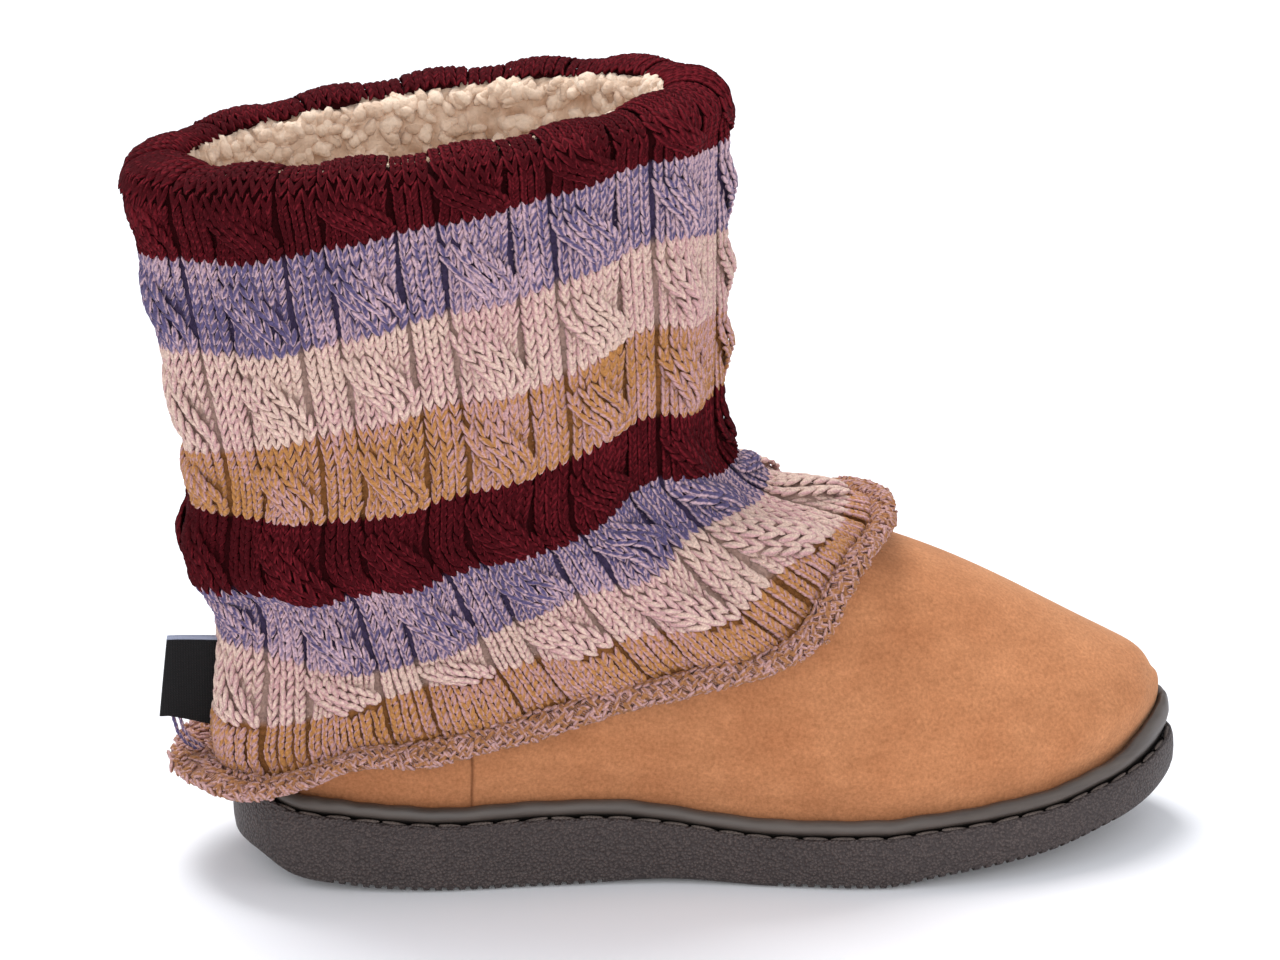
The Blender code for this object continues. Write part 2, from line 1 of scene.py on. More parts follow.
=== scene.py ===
import math
import bpy
import numpy as np
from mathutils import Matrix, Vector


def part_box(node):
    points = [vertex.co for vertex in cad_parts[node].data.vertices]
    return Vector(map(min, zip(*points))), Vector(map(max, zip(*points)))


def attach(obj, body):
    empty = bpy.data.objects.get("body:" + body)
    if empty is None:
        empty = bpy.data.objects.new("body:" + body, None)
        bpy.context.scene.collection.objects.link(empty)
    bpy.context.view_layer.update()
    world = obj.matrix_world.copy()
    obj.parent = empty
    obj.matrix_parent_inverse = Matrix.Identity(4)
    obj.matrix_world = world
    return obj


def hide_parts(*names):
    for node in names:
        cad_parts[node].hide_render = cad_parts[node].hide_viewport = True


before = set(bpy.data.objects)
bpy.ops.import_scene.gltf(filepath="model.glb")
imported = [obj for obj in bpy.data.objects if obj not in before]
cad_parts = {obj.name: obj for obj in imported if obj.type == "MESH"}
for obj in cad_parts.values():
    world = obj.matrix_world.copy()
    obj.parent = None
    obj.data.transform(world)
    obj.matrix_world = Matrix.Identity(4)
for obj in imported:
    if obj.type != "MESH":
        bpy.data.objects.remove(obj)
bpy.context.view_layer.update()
seed = 11  # of every random draw
holder = np.array([-0.1230, -0.00277, 0.0])  # from the sole's back edge to the frame's origin


# Camera, floor and light

view = {
    "azimuth": -7.0,
    "elevation": 18.0,
    "distance": 2.0,
    "lens": 198.5,
    "film": 36.0,
    "target": (-0.0066, -0.0028, 0.1087),
}
studio = {
    "world": 0.70,
    "sky": (0.93, 0.95, 1.0, 1.0),
    "floorSize": 8.0,
    "floorDrop": 0.0002,
    "floorGlow": 0.04,
    "aim": (0.0, 0.0, 0.1),
    # name, place, size, watts
    "lights": (
        ("topLight", (-0.35, 0.8, 2.1), 1.1, 40.0),
        ("keyLight", (-0.2, -1.9, 0.7), 1.2, 13.5),
        ("rightLight", (1.7, -0.9, 0.8), 1.2, 6.5),
        ("leftLight", (-1.8, -0.3, 1.0), 1.2, 4.0),
    ),
}


def socketSet(made, **values):
    for name, value in values.items():
        made.inputs[name].default_value = value


def srgb(r, g, b):
    shares = (r / 255, g / 255, b / 255)
    return tuple(c / 12.92 if c < 0.04045 else ((c + 0.055) / 1.055) ** 2.4 for c in shares) + (1.0,)


def startMaterial(name, roughness, specular, sheen=0.0, sheenRoughness=0.5):
    made = bpy.data.materials.new(name)
    made.use_nodes = True
    tree = made.node_tree
    shader = tree.nodes["Principled BSDF"]
    shader.inputs["Roughness"].default_value = roughness
    shader.inputs["Specular IOR Level"].default_value = specular
    shader.inputs["Sheen Weight"].default_value = sheen
    shader.inputs["Sheen Roughness"].default_value = sheenRoughness
    return made, tree, shader


def node(tree, kind, **settings):
    made = tree.nodes.new(kind)
    for name, value in settings.items():
        setattr(made, name, value)
    return made


def link(tree, out, into):
    tree.links.new(out, into)


def linkOrSet(tree, value, socket):
    if isinstance(value, bpy.types.NodeSocket):
        link(tree, value, socket)
    else:
        socket.default_value = value


def paint(tree, shader, colour, bump):
    link(tree, colour, shader.inputs["Base Color"])
    link(tree, bump, shader.inputs["Normal"])


def noiseNode(tree, source, scale, detail, roughness=0.55, stretch=None):
    if stretch:
        mapping = node(tree, "ShaderNodeMapping")
        mapping.inputs["Scale"].default_value = stretch
        link(tree, source, mapping.inputs["Vector"])
        source = mapping.outputs["Vector"]
    made = node(tree, "ShaderNodeTexNoise")
    socketSet(made, Scale=scale, Detail=detail, Roughness=roughness)
    link(tree, source, made.inputs["Vector"])
    return made.outputs["Fac"]


def rampNode(tree, source, low, high, colours=None):
    made = node(tree, "ShaderNodeValToRGB")
    made.color_ramp.elements[0].position = low
    made.color_ramp.elements[1].position = high
    if colours:
        made.color_ramp.elements[0].color, made.color_ramp.elements[1].color = colours
    link(tree, source, made.inputs["Fac"])
    return made.outputs["Color"]


def mixNode(tree, factor, first, second, blend="MIX"):
    made = node(tree, "ShaderNodeMix", data_type="RGBA", blend_type=blend)
    for value, place in ((factor, 0), (first, 6), (second, 7)):
        linkOrSet(tree, value, made.inputs[place])
    return made.outputs[2]


def tintNode(tree, base, source, low, high, dark, bright):
    # the base times a grey that goes from dark to bright as the source goes from low to high
    tint = rampNode(tree, source, low, high, ((*dark, 1), (*bright, 1)))
    return mixNode(tree, 1.0, base, tint, "MULTIPLY")


def mathNode(tree, operation, *values):
    made = node(tree, "ShaderNodeMath", operation=operation)
    for place, value in enumerate(values):
        linkOrSet(tree, value, made.inputs[place])
    return made.outputs[0]


def bumpNode(tree, height, distance, strength=1.0, before=None):
    made = node(tree, "ShaderNodeBump")
    socketSet(made, Strength=strength, Distance=distance)
    link(tree, height, made.inputs["Height"])
    if before is not None:
        link(tree, before, made.inputs["Normal"])
    return made.outputs["Normal"]


def objectPlace(tree):
    return node(tree, "ShaderNodeTexCoord").outputs["Object"]


def attribute(tree, name, output="Fac"):
    return node(tree, "ShaderNodeAttribute", attribute_name=name).outputs[output]


def makeCamera():
    data = bpy.data.cameras.new("camera")
    data.lens = view["lens"]
    data.sensor_width = view["film"]
    camera = bpy.data.objects.new("camera", data)
    az, el = math.radians(view["azimuth"]), math.radians(view["elevation"])
    away = np.array([math.sin(az) * math.cos(el), -math.cos(az) * math.cos(el), math.sin(el)])
    camera.location = np.array(view["target"]) + away * view["distance"]
    camera.rotation_euler = (math.pi / 2 - el, 0, az)
    bpy.context.scene.collection.objects.link(camera)
    bpy.context.scene.camera = camera
    bpy.context.scene.view_settings.view_transform = "Standard"


def makeFloor():
    mesh = bpy.data.meshes.new("floor")
    half = studio["floorSize"] / 2
    corners = [(x * half, y * half, -studio["floorDrop"]) for x, y in ((-1, -1), (1, -1), (1, 1), (-1, 1))]
    mesh.from_pydata(corners, [], [(0, 1, 2, 3)])
    floor = bpy.data.objects.new("floor", mesh)
    bpy.context.scene.collection.objects.link(floor)
    made, tree, shader = startMaterial("palePaper", 0.75, 0.15)
    grain = noiseNode(tree, objectPlace(tree), 3.0, 2.0)
    colour = rampNode(tree, grain, 0.2, 0.8, (srgb(240, 241, 245), srgb(244, 245, 248)))
    link(tree, colour, shader.inputs["Base Color"])
    shader.inputs["Emission Color"].default_value = (1, 1, 1, 1)
    shader.inputs["Emission Strength"].default_value = studio["floorGlow"]
    mesh.materials.append(made)


def makeLights():
    world = bpy.data.worlds.new("studio")
    bpy.context.scene.world = world
    world.use_nodes = True
    background = world.node_tree.nodes["Background"]
    socketSet(background, Color=studio["sky"], Strength=studio["world"])
    for name, place, size, watts in studio["lights"]:
        data = bpy.data.lights.new(name, "AREA")
        data.size = size
        data.energy = watts
        light = bpy.data.objects.new(name, data)
        light.location = place
        toward = np.array(studio["aim"]) - np.array(place)
        yaw = math.atan2(toward[0], -toward[1])
        tilt = math.atan2(math.hypot(toward[0], toward[1]), -toward[2])
        light.rotation_euler = (tilt, 0, yaw + math.pi)
        bpy.context.scene.collection.objects.link(light)


makeCamera()
makeFloor()
makeLights()
print("camera, floor and lights")


# The shoe's own shape, the same functions as its solids, in metres from the sole's back edge

sole = {
    "length": 0.272,
    "heelWidth": 0.070,
    "ballWidth": 0.0963,
    "toeOffset": 0.004,
    "heelSide": 0.0200,
    "ballSide": 0.0150,
    "heelRocker": 0.0085,
    "toeSpring": 0.0150,
    "archLift": 0.0012,
    "edgeRadius": 0.0022,
    "bulge": 0.0006,
    "ribPitch": 0.0034,
    "ribWidth": 0.0015,
    "ribDepth": 0.0015,
    "padLength": 0.026,
    "padWidth": 0.030,
    "weltHeight": 0.0048,
    "weltWidth": 0.0046,
    "weltSetback": 0.0010,
    "weltToeRaise": 0.0010,
    "seatGap": 0.0005,
    "insole": 0.0040,
    "clearance": 0.0003,
    # share of the length, which width (0 heel, 1 ball), then the outer and inner side as shares of it
    "outline": (
        (0.050, 0.00, 0.381, 0.381),
        (0.110, 0.00, 0.464, 0.464),
        (0.200, 0.00, 0.507, 0.493),
        (0.345, 0.15, 0.480, 0.419),
        (0.450, 0.50, 0.451, 0.385),
        (0.566, 1.00, 0.462, 0.405),
        (0.640, 1.00, 0.504, 0.467),
        (0.717, 1.00, 0.507, 0.493),
        (0.790, 1.00, 0.472, 0.483),
        (0.864, 1.00, 0.395, 0.436),
        (0.920, 1.00, 0.296, 0.363),
        (0.960, 1.00, 0.187, 0.280),
        (0.985, 1.00, 0.083, 0.187),
    ),
    # share of the length, then shares of the heel's rocker, the arch's lift and the toe's spring
    "bottom": (
        (0.000, 1.00, 0.00, 0.000),
        (0.018, 0.93, 0.00, 0.000),
        (0.048, 0.48, 0.00, 0.000),
        (0.107, 0.20, 0.00, 0.000),
        (0.200, 0.00, 0.00, 0.000),
        (0.330, 0.00, 0.00, 0.000),
        (0.440, 0.00, 1.00, 0.000),
        (0.545, 0.00, 0.00, 0.000),
        (0.665, 0.00, 0.00, 0.000),
        (0.720, 0.00, 0.00, 0.160),
        (0.787, 0.00, 0.00, 0.285),
        (0.846, 0.00, 0.00, 0.400),
        (0.904, 0.00, 0.00, 0.600),
        (0.945, 0.00, 0.00, 0.720),
        (0.978, 0.00, 0.00, 0.860),
        (1.000, 0.00, 0.00, 1.000),
    ),
    # share of the length, then shares of the side's height at the heel and at the ball
    "side": (
        (0.000, 0.92, 0.00),
        (0.100, 1.01, 0.00),
        (0.200, 0.98, 0.00),
        (0.390, 0.96, 0.00),
        (0.440, 0.40, 0.60),
        (0.490, 0.10, 0.90),
        (0.550, 0.00, 0.98),
        (0.660, 0.00, 1.00),
        (0.750, 0.00, 0.91),
        (0.870, 0.00, 0.85),
        (1.000, 0.00, 0.80),
    ),
    # start, end and middle of the pad, as shares of the length
    "tread": ((0.095, 0.370, 0.270), (0.555, 0.925, 0.590)),
}
boot = {
    "wall": 0.0025,
    "collarBack": 0.200,
    "collarFront": 0.219,
    "overhang": 0.020,
    "shift": 0.004,
    "shaftLength": 0.155,
    "shaftWidth": 0.088,
    "instep": 0.100,
    "bulge": 0.0155,
    "fleece": 0.0057,
    # one row for each level up the body. lift: share of the bulge over the sole. tie: 1 on the sole's edge.
    # lean: share of the overhang. back, front: height, 1 at the instep, 2 at the collar. foot, shaft: length
    # as shares of the sole and the shaft. inset: share of the bead's. width: share of the shaft's.
    # oval: 0 is the foot's outline, 1 an oval
    "rows": (
        (0.00, 1.0, -0.20, 0.30, 0.30, 0.978, 0.000, 1.00, 0.86, 0.00),
        (0.33, 1.0, -0.20, 0.33, 0.33, 0.978, 0.000, 1.00, 0.86, 0.00),
        (1.00, 1.0, -0.10, 0.40, 0.39, 0.984, 0.000, 0.58, 0.88, 0.00),
        (1.50, 0.6, -0.12, 0.49, 0.415, 0.974, 0.000, 0.80, 0.89, 0.10),
        (2.10, 0.3, -0.15, 0.58, 0.485, 0.948, 0.000, 1.02, 0.89, 0.30),
        (2.60, 0.0, -0.16, 0.68, 0.585, 0.901, 0.000, 1.50, 0.88, 0.55),
        (3.00, 0.0, -0.13, 0.78, 0.700, 0.827, 0.000, 1.70, 0.88, 0.80),
        (3.50, 0.0, -0.10, 0.88, 0.815, 0.743, 0.000, 1.70, 0.88, 0.90),
        (4.00, 0.0, 0.00, 0.98, 0.915, 0.655, 0.000, 1.70, 0.89, 1.00),
        (4.50, 0.0, 0.14, 1.08, 1.00, 0.250, 0.620, 1.70, 0.91, 1.00),
        (5.00, 0.0, 0.25, 1.200, 1.093, 0.050, 0.920, 1.70, 0.94, 1.00),
        (5.50, 0.0, 0.46, 1.360, 1.250, 0.010, 0.975, 1.70, 0.97, 1.00),
        (6.20, 0.0, 0.75, 1.660, 1.540, 0.000, 1.000, 1.70, 1.00, 1.00),
        (7.00, 0.0, 1.00, 2.000, 2.000, 0.000, 1.000, 1.70, 1.00, 1.00),
    ),
}
collarLevel = len(boot["rows"]) - 1


def unit(vectors):
    return vectors / np.linalg.norm(vectors, axis=-1, keepdims=True)


def lengthAlong(line):
    return np.concatenate([[0], np.cumsum(np.linalg.norm(np.diff(line, axis=0), axis=1))])


def hermite(place, value, x):
    steps = np.diff(place)
    slopes = np.diff(value) / steps
    middle = (slopes[:-1] * steps[1:] + slopes[1:] * steps[:-1]) / (steps[1:] + steps[:-1])
    tangent = np.concatenate([slopes[:1], middle, slopes[-1:]])
    x = np.clip(x, place[0], place[-1])
    i = np.clip(np.searchsorted(place, x, side="right") - 1, 0, len(steps) - 1)
    f = (x - place[i]) / steps[i]
    return (value[i] * (1 + 2 * f) * (1 - f) ** 2 + tangent[i] * steps[i] * f * (1 - f) ** 2
            + value[i + 1] * f**2 * (3 - 2 * f) + tangent[i + 1] * steps[i] * f**2 * (f - 1))


def curve(table, column, x):
    table = np.array(table)
    return hermite(table[:, 0], table[:, column], x)


def smoothStep(x):
    x = np.clip(x, 0, 1)
    return x * x * (3 - 2 * x)


def wayForward(theta):
    return (1 - np.cos(theta)) / 2


def outlineTable():
    turn, side = [0.0], [0.0]
    for station, ball, lateral, medial in sole["outline"]:
        width = sole["heelWidth"] * (1 - ball) + sole["ballWidth"] * ball
        angle = math.acos(1 - 2 * station)
        turn += [angle, 2 * np.pi - angle]
        side += [-lateral * width, medial * width]
    turn.append(np.pi)
    side.append(sole["toeOffset"])
    order = np.argsort(turn)
    turn, side = np.array(turn)[order], np.array(side)[order]
    return np.concatenate([turn - 2 * np.pi, turn, turn + 2 * np.pi]), np.tile(side, 3)


outlineTurn, outlineSide = outlineTable()


def outline(theta):
    y = hermite(outlineTurn, outlineSide, np.mod(theta, 2 * np.pi))
    return np.stack([sole["length"] * wayForward(theta), y], axis=-1)


def insetOutline(theta, inset):
    step = 1e-3
    along = unit(outline(theta + step) - outline(theta - step))
    outward = np.stack([along[..., 1], -along[..., 0]], axis=-1)
    return outline(theta) - outward * np.asarray(inset)[..., None]


def bottom(x):
    heel, arch, toe = (curve(sole["bottom"], column, x / sole["length"]) for column in (1, 2, 3))
    return np.maximum(sole["heelRocker"] * heel + sole["archLift"] * arch + sole["toeSpring"] * toe, 0)


def sideHeight(x):
    heel, ball = (curve(sole["side"], column, x / sole["length"]) for column in (1, 2))
    return sole["heelSide"] * heel + sole["ballSide"] * ball


def soleTop(x):
    return bottom(x) + sideHeight(x)


def weltTop(x):
    toe = np.clip((x / sole["length"] - 0.75) / 0.25, 0, 1)
    return soleTop(x) + sole["weltHeight"] + sole["weltToeRaise"] * toe


def heightOf(share, collar):
    return boot["instep"] * np.minimum(share, 1) + (collar - boot["instep"]) * np.maximum(share - 1, 0)


def body(theta, v):
    # the boot's outer face: theta goes round from the heel by the outer side, v up the table's rows
    place = np.arange(len(boot["rows"]), dtype=float)
    columns = (hermite(place, column, v) for column in np.array(boot["rows"]).T)
    lift, tie, lean, back, front, foot, shaft, insetShare, width, oval = columns
    inset = insetShare * (sole["weltSetback"] + sole["weltWidth"] + sole["clearance"])
    plan = insetOutline(theta, inset)
    backX = -lean * boot["overhang"]
    backX = backX + tie * (inset - backX)
    frontX = foot * sole["length"] + shaft * (boot["shaftLength"] - boot["overhang"])
    frontX = frontX + tie * (sole["length"] - inset - frontX)
    forward = wayForward(theta)
    footX = backX + (plan[..., 0] - inset) * (frontX - backX) / (sole["length"] - 2 * inset)
    ovalX = backX + (frontX - backX) * forward
    middle = sole["toeOffset"] * forward + boot["shift"] * (1 - forward) * np.clip(back - 1, 0, 1)
    ovalY = middle - width * boot["shaftWidth"] / 2 * np.sin(theta)
    x = footX + oval * (ovalX - footX)
    y = plan[..., 1] + oval * (ovalY - plan[..., 1])
    backZ, frontZ = heightOf(back, boot["collarBack"]), heightOf(front, boot["collarFront"])
    planeZ = backZ + (frontZ - backZ) * forward
    z = planeZ + tie * (soleTop(x) + sole["seatGap"] + lift * boot["bulge"] - planeZ)
    return np.stack([x, y, z], axis=-1)


def bodyNormal(theta, v):
    step = 1e-3
    low, high = np.maximum(v - step, 0), np.minimum(v + step, collarLevel)
    return unit(np.cross(body(theta + step, v) - body(theta - step, v), body(theta, high) - body(theta, low)))


def bodyOffset(theta, v, distance):
    return body(theta, v) + bodyNormal(theta, v) * np.asarray(distance)[..., None]


def levelAt(theta, target):
    # the level v at which the boot's outer face reaches a height, by halving
    low, high = np.zeros_like(theta), np.full_like(theta, float(collarLevel))
    for _ in range(30):
        middle = (low + high) / 2
        below = body(theta, middle)[..., 2] < target
        low, high = np.where(below, middle, low), np.where(below, high, middle)
    return (low + high) / 2


def insoleTop(x):
    return soleTop(x) + sole["seatGap"] + sole["insole"]


# Meshes

def scatter(cell, salt):
    # a fixed number from 0 to 1 for each cell
    value = np.sin(cell @ np.array([127.1, 311.7, 74.7]) + salt * 19.19) * 43758.5453
    return value - np.floor(value)


def nearestTuft(points, spacing):
    # distance, in spacings, to the nearest of a scatter of tufts, and that tuft's tone
    place = points / spacing
    base = np.floor(place)
    nearest = np.full(place.shape[:-1], 9.0)
    tone = np.zeros(place.shape[:-1])
    for shift in np.ndindex(3, 3, 3):
        cell = base + np.array(shift) - 1
        spot = cell + np.stack([scatter(cell, salt) for salt in (1, 2, 3)], axis=-1) * 0.8 + 0.1
        far = np.linalg.norm(place - spot, axis=-1)
        closer = far < nearest
        nearest = np.where(closer, far, nearest)
        tone = np.where(closer, scatter(cell, 4), tone)
    return nearest, tone


def softNoise(points, spacing, salt=5):
    # smooth hills and hollows from -1 to 1
    place = points / spacing
    base = np.floor(place)
    f = place - base
    f = f * f * (3 - 2 * f)
    total = np.zeros(place.shape[:-1])
    for i, j, k in np.ndindex(2, 2, 2):
        weight = (f[..., 0] if i else 1 - f[..., 0]) * (f[..., 1] if j else 1 - f[..., 1])
        weight = weight * (f[..., 2] if k else 1 - f[..., 2])
        total += weight * scatter(base + np.array([i, j, k]), salt)
    return total * 2 - 1


def addPiece(name, points, faces, finish, smooth=True, marks=None):
    mesh = bpy.data.meshes.new(name)
    mesh.from_pydata((np.asarray(points).reshape(-1, 3) + holder).tolist(), [], faces)
    for key, values in (marks or {}).items():
        mark = mesh.attributes.new(key, "FLOAT", "POINT")
        mark.data.foreach_set("value", np.asarray(values, np.float32).ravel())
    if smooth:
        mesh.shade_smooth()
    if finish:
        mesh.materials.append(finish)
    made = bpy.data.objects.new(name, mesh)
    bpy.context.scene.collection.objects.link(made)
    return made


def gridFaces(rows, around, loop=False):
    count = rows if loop else rows - 1
    i, j = np.meshgrid(np.arange(count), np.arange(around), indexing="ij")
    up, side = (i + 1) % rows, (j + 1) % around
    quads = np.stack([i * around + j, i * around + side, up * around + side, up * around + j], axis=-1)
    return quads.reshape(-1, 4).tolist()


def ladderFaces(start, around, flip):
    half = around // 2
    faces = [(start, start + 1, start + around - 1), (start + half, start + half + 1, start + half - 1)]
    for i in range(1, half - 1):
        faces.append((start + i, start + i + 1, start + around - i - 1, start + around - i))
    return [face[::-1] for face in faces] if flip else faces


def finishPiece(piece, slot, *nodes):
    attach(piece, "root")
    if nodes:
        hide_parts(*nodes)
    print(piece.name, sum(len(face.vertices) - 2 for face in piece.data.polygons), "triangles")


# Yarn laid as short strands by Geometry Nodes

def strandTree():
    tree = bpy.data.node_groups.new("strands", "GeometryNodeTree")
    face = tree.interface
    face.new_socket("Geometry", in_out="OUTPUT", socket_type="NodeSocketGeometry")
    face.new_socket("Geometry", in_out="INPUT", socket_type="NodeSocketGeometry")
    for name, kind, value in (("Sides", "Int", 6), ("Rings", "Int", 4), ("Thickness", "Float", 1.0)):
        face.new_socket(name, in_out="INPUT", socket_type="NodeSocket" + kind).default_value = value
    face.new_socket("Finish", in_out="INPUT", socket_type="NodeSocketMaterial")
    start = node(tree, "NodeGroupInput")
    end = node(tree, "NodeGroupOutput")
    strand = node(tree, "GeometryNodeMeshUVSphere")
    link(tree, start.outputs["Sides"], strand.inputs["Segments"])
    link(tree, start.outputs["Rings"], strand.inputs["Rings"])
    strand.inputs["Radius"].default_value = 0.5
    wrap = node(tree, "GeometryNodeStoreNamedAttribute", data_type="FLOAT2", domain="CORNER")
    wrap.inputs["Name"].default_value = "UVMap"
    link(tree, strand.outputs["Mesh"], wrap.inputs["Geometry"])
    link(tree, strand.outputs["UV Map"], wrap.inputs["Value"])
    smooth = node(tree, "GeometryNodeSetShadeSmooth")
    link(tree, wrap.outputs[0], smooth.inputs["Geometry"])
    turn, size = (node(tree, "GeometryNodeInputNamedAttribute", data_type="FLOAT_VECTOR") for _ in range(2))
    turn.inputs["Name"].default_value = "turn"
    size.inputs["Name"].default_value = "size"
    rotation = node(tree, "FunctionNodeEulerToRotation")
    link(tree, turn.outputs["Attribute"], rotation.inputs[0])
    scale = node(tree, "ShaderNodeVectorMath", operation="SCALE")
    link(tree, size.outputs["Attribute"], scale.inputs[0])
    link(tree, start.outputs["Thickness"], scale.inputs["Scale"])
    place = node(tree, "GeometryNodeInstanceOnPoints")
    link(tree, start.outputs["Geometry"], place.inputs["Points"])
    link(tree, smooth.outputs[0], place.inputs["Instance"])
    link(tree, rotation.outputs[0], place.inputs["Rotation"])
    link(tree, scale.outputs[0], place.inputs["Scale"])
    whole = node(tree, "GeometryNodeRealizeInstances")
    link(tree, place.outputs[0], whole.inputs[0])
    colour = node(tree, "GeometryNodeSetMaterial")
    link(tree, whole.outputs[0], colour.inputs["Geometry"])
    link(tree, start.outputs["Finish"], colour.inputs["Material"])
    link(tree, colour.outputs[0], end.inputs[0])
    return tree


strands = strandTree()


def layStrands(name, batches, finish, sides=5, rings=4):
    # a batch is its strands' middles, long axes, ways they face, sizes (width, depth, length) and tones
    centre, along, outward, size, tone = (np.concatenate(part) for part in zip(*batches))
    along = unit(along)
    across = unit(np.cross(outward, along))
    outward = np.cross(along, across)
    turn = np.stack([
        np.arctan2(outward[:, 2], along[:, 2]),
        np.arcsin(np.clip(-across[:, 2], -1, 1)),
        np.arctan2(across[:, 1], across[:, 0]),
    ], axis=-1)
    piece = addPiece(name, centre, [], None, smooth=False, marks={"tone": tone})
    points = piece.data
    for key, values in (("turn", turn), ("size", size)):
        vectors = points.attributes.new(key, "FLOAT_VECTOR", "POINT")
        vectors.data.foreach_set("vector", np.asarray(values, np.float32).ravel())
    modifier = piece.modifiers.new("strands", "NODES")
    modifier.node_group = strands
    names = {item.name: item.identifier for item in strands.interface.items_tree if item.in_out == "INPUT"}
    for key, value in (("Sides", sides), ("Rings", rings), ("Thickness", 1.0), ("Finish", finish)):
        modifier[names[key]] = value
    graph = bpy.context.evaluated_depsgraph_get()
    mesh = bpy.data.meshes.new_from_object(piece.evaluated_get(graph))
    piece.modifiers.clear()
    piece.data = mesh
    mesh.name = name
    bpy.data.meshes.remove(points)
    for key in ("turn", "size"):
        if key in mesh.attributes:
            mesh.attributes.remove(mesh.attributes[key])
    return piece


# Yarn

yarns = {
    # ground, fleck, share of fleck, sheen
    "burgundy": (srgb(72, 11, 19), srgb(120, 30, 40), 0.36, 0.0),
    "purple": (srgb(98, 88, 128), srgb(220, 186, 196), 0.53, 0.10),
    "pink": (srgb(236, 206, 190), srgb(220, 174, 174), 0.45, 0.10),
    "ochre": (srgb(196, 138, 80), srgb(216, 170, 172), 0.48, 0.10),
    "edging": (srgb(176, 122, 80), srgb(214, 170, 168), 0.50, 0.10),
}
ply = {
    "turns": 2.0,  # of the two plies round a strand
    "slant": 1.1,  # turns along it
    "twist": 0.36,  # how much the plies differ in colour
    "patches": 1.1,  # how much the colour wanders along the yarn
    "blend": 0.26,  # softness between the two colours
    "twistDepth": 0.00030,
    "hairDepth": 0.00045,
}


def yarnMaterial(name, ground, fleck, share, sheen):
    made, tree, shader = startMaterial(name, 0.92, 0.08, sheen)
    place = objectPlace(tree)
    uv = node(tree, "ShaderNodeSeparateXYZ")
    link(tree, node(tree, "ShaderNodeUVMap", uv_map="UVMap").outputs[0], uv.inputs[0])
    around = mathNode(tree, "MULTIPLY", uv.outputs["X"], ply["turns"])
    turn = mathNode(tree, "ADD", around, mathNode(tree, "MULTIPLY", uv.outputs["Y"], ply["slant"]))
    twist = mathNode(tree, "SINE", mathNode(tree, "MULTIPLY", turn, 2 * math.pi))
    hair = noiseNode(tree, place, 1500.0, 3.0, 0.7)
    patch = mathNode(tree, "SUBTRACT", noiseNode(tree, place, 800.0, 2.0, 0.6), 0.5)
    level = mathNode(tree, "ADD", attribute(tree, "tone"), mathNode(tree, "MULTIPLY", twist, ply["twist"]))
    level = mathNode(tree, "ADD", level, mathNode(tree, "MULTIPLY", patch, ply["patches"]))
    pick = rampNode(tree, level, 1 - share - ply["blend"], 1 - share + ply["blend"])
    colour = mixNode(tree, pick, ground, fleck)
    colour = tintNode(tree, colour, hair, 0.30, 0.75, (0.55, 0.53, 0.52), (1.12, 1.12, 1.12))
    bump = bumpNode(tree, mathNode(tree, "MULTIPLY", twist, 0.5), ply["twistDepth"])
    paint(tree, shader, colour, bumpNode(tree, hair, ply["hairDepth"], 0.8, bump))
    return made


def backingMaterial(name):
    made, tree, shader = startMaterial(name, 0.95, 0.1)
    hair = noiseNode(tree, objectPlace(tree), 700.0, 4.0, 0.7)
    # the yarn colours with painted shade, from the sleeve's inside
    colour = attribute(tree, "shadedYarnColour", "Color")
    colour = tintNode(tree, colour, hair, 0.3, 0.7, (0.45, 0.45, 0.45), (1.0, 1.0, 1.0))
    paint(tree, shader, colour, bumpNode(tree, hair, 0.0008))
    return made


yarnFinish = {yarn: yarnMaterial(yarn + "Yarn", *values) for yarn, values in yarns.items()}


# Outsole

rubber = {
    "dark": srgb(58, 49, 48),
    "light": srgb(86, 75, 72),
    "shadow": srgb(16, 13, 12),  # in the stitch channel and under the bead
    "pebbles": 1150.0,  # to the metre
    "grain": 0.0007,
    "lip": 0.0009,
    "channelDepth": 0.0009,
    "channelShade": 0.85,
    "stations": 121,
    "stationGap": 0.0003,
    "wallStep": 0.0001,  # the steep walls of a groove lean this much to each side
    "bulgeAt": 0.55,
}


def soleStations():
    # angles from heel to toe, with a close set at the walls of each groove
    length, half, step = sole["length"], sole["ribWidth"] / 2, rubber["wallStep"]
    turns = list(np.linspace(0, np.pi, rubber["stations"]))
    walls = {}
    for start, end, pad in sole["tread"]:
        for i in range(int((end - start) * length / sole["ribPitch"]) + 1):
            x = start * length + i * sole["ribPitch"]
            onPad = abs(x - pad * length) < (sole["padLength"] + sole["ribWidth"]) / 2
            clear = half + rubber["stationGap"]
            turns = [t for t in turns if abs(length * (1 - math.cos(t)) / 2 - x) > clear]
            for dx, cut in ((-half - step, 0), (-half + step, 1), (half - step, 1), (half + step, 0)):
                turns.append(math.acos(1 - 2 * (x + dx) / length))
                walls[turns[-1]] = (cut, onPad)
    turns = sorted(turns)
    cut, onPad = (np.array([walls.get(t, (0, False))[k] for t in turns]) for k in (0, 1))
    return np.array(turns), cut, onPad


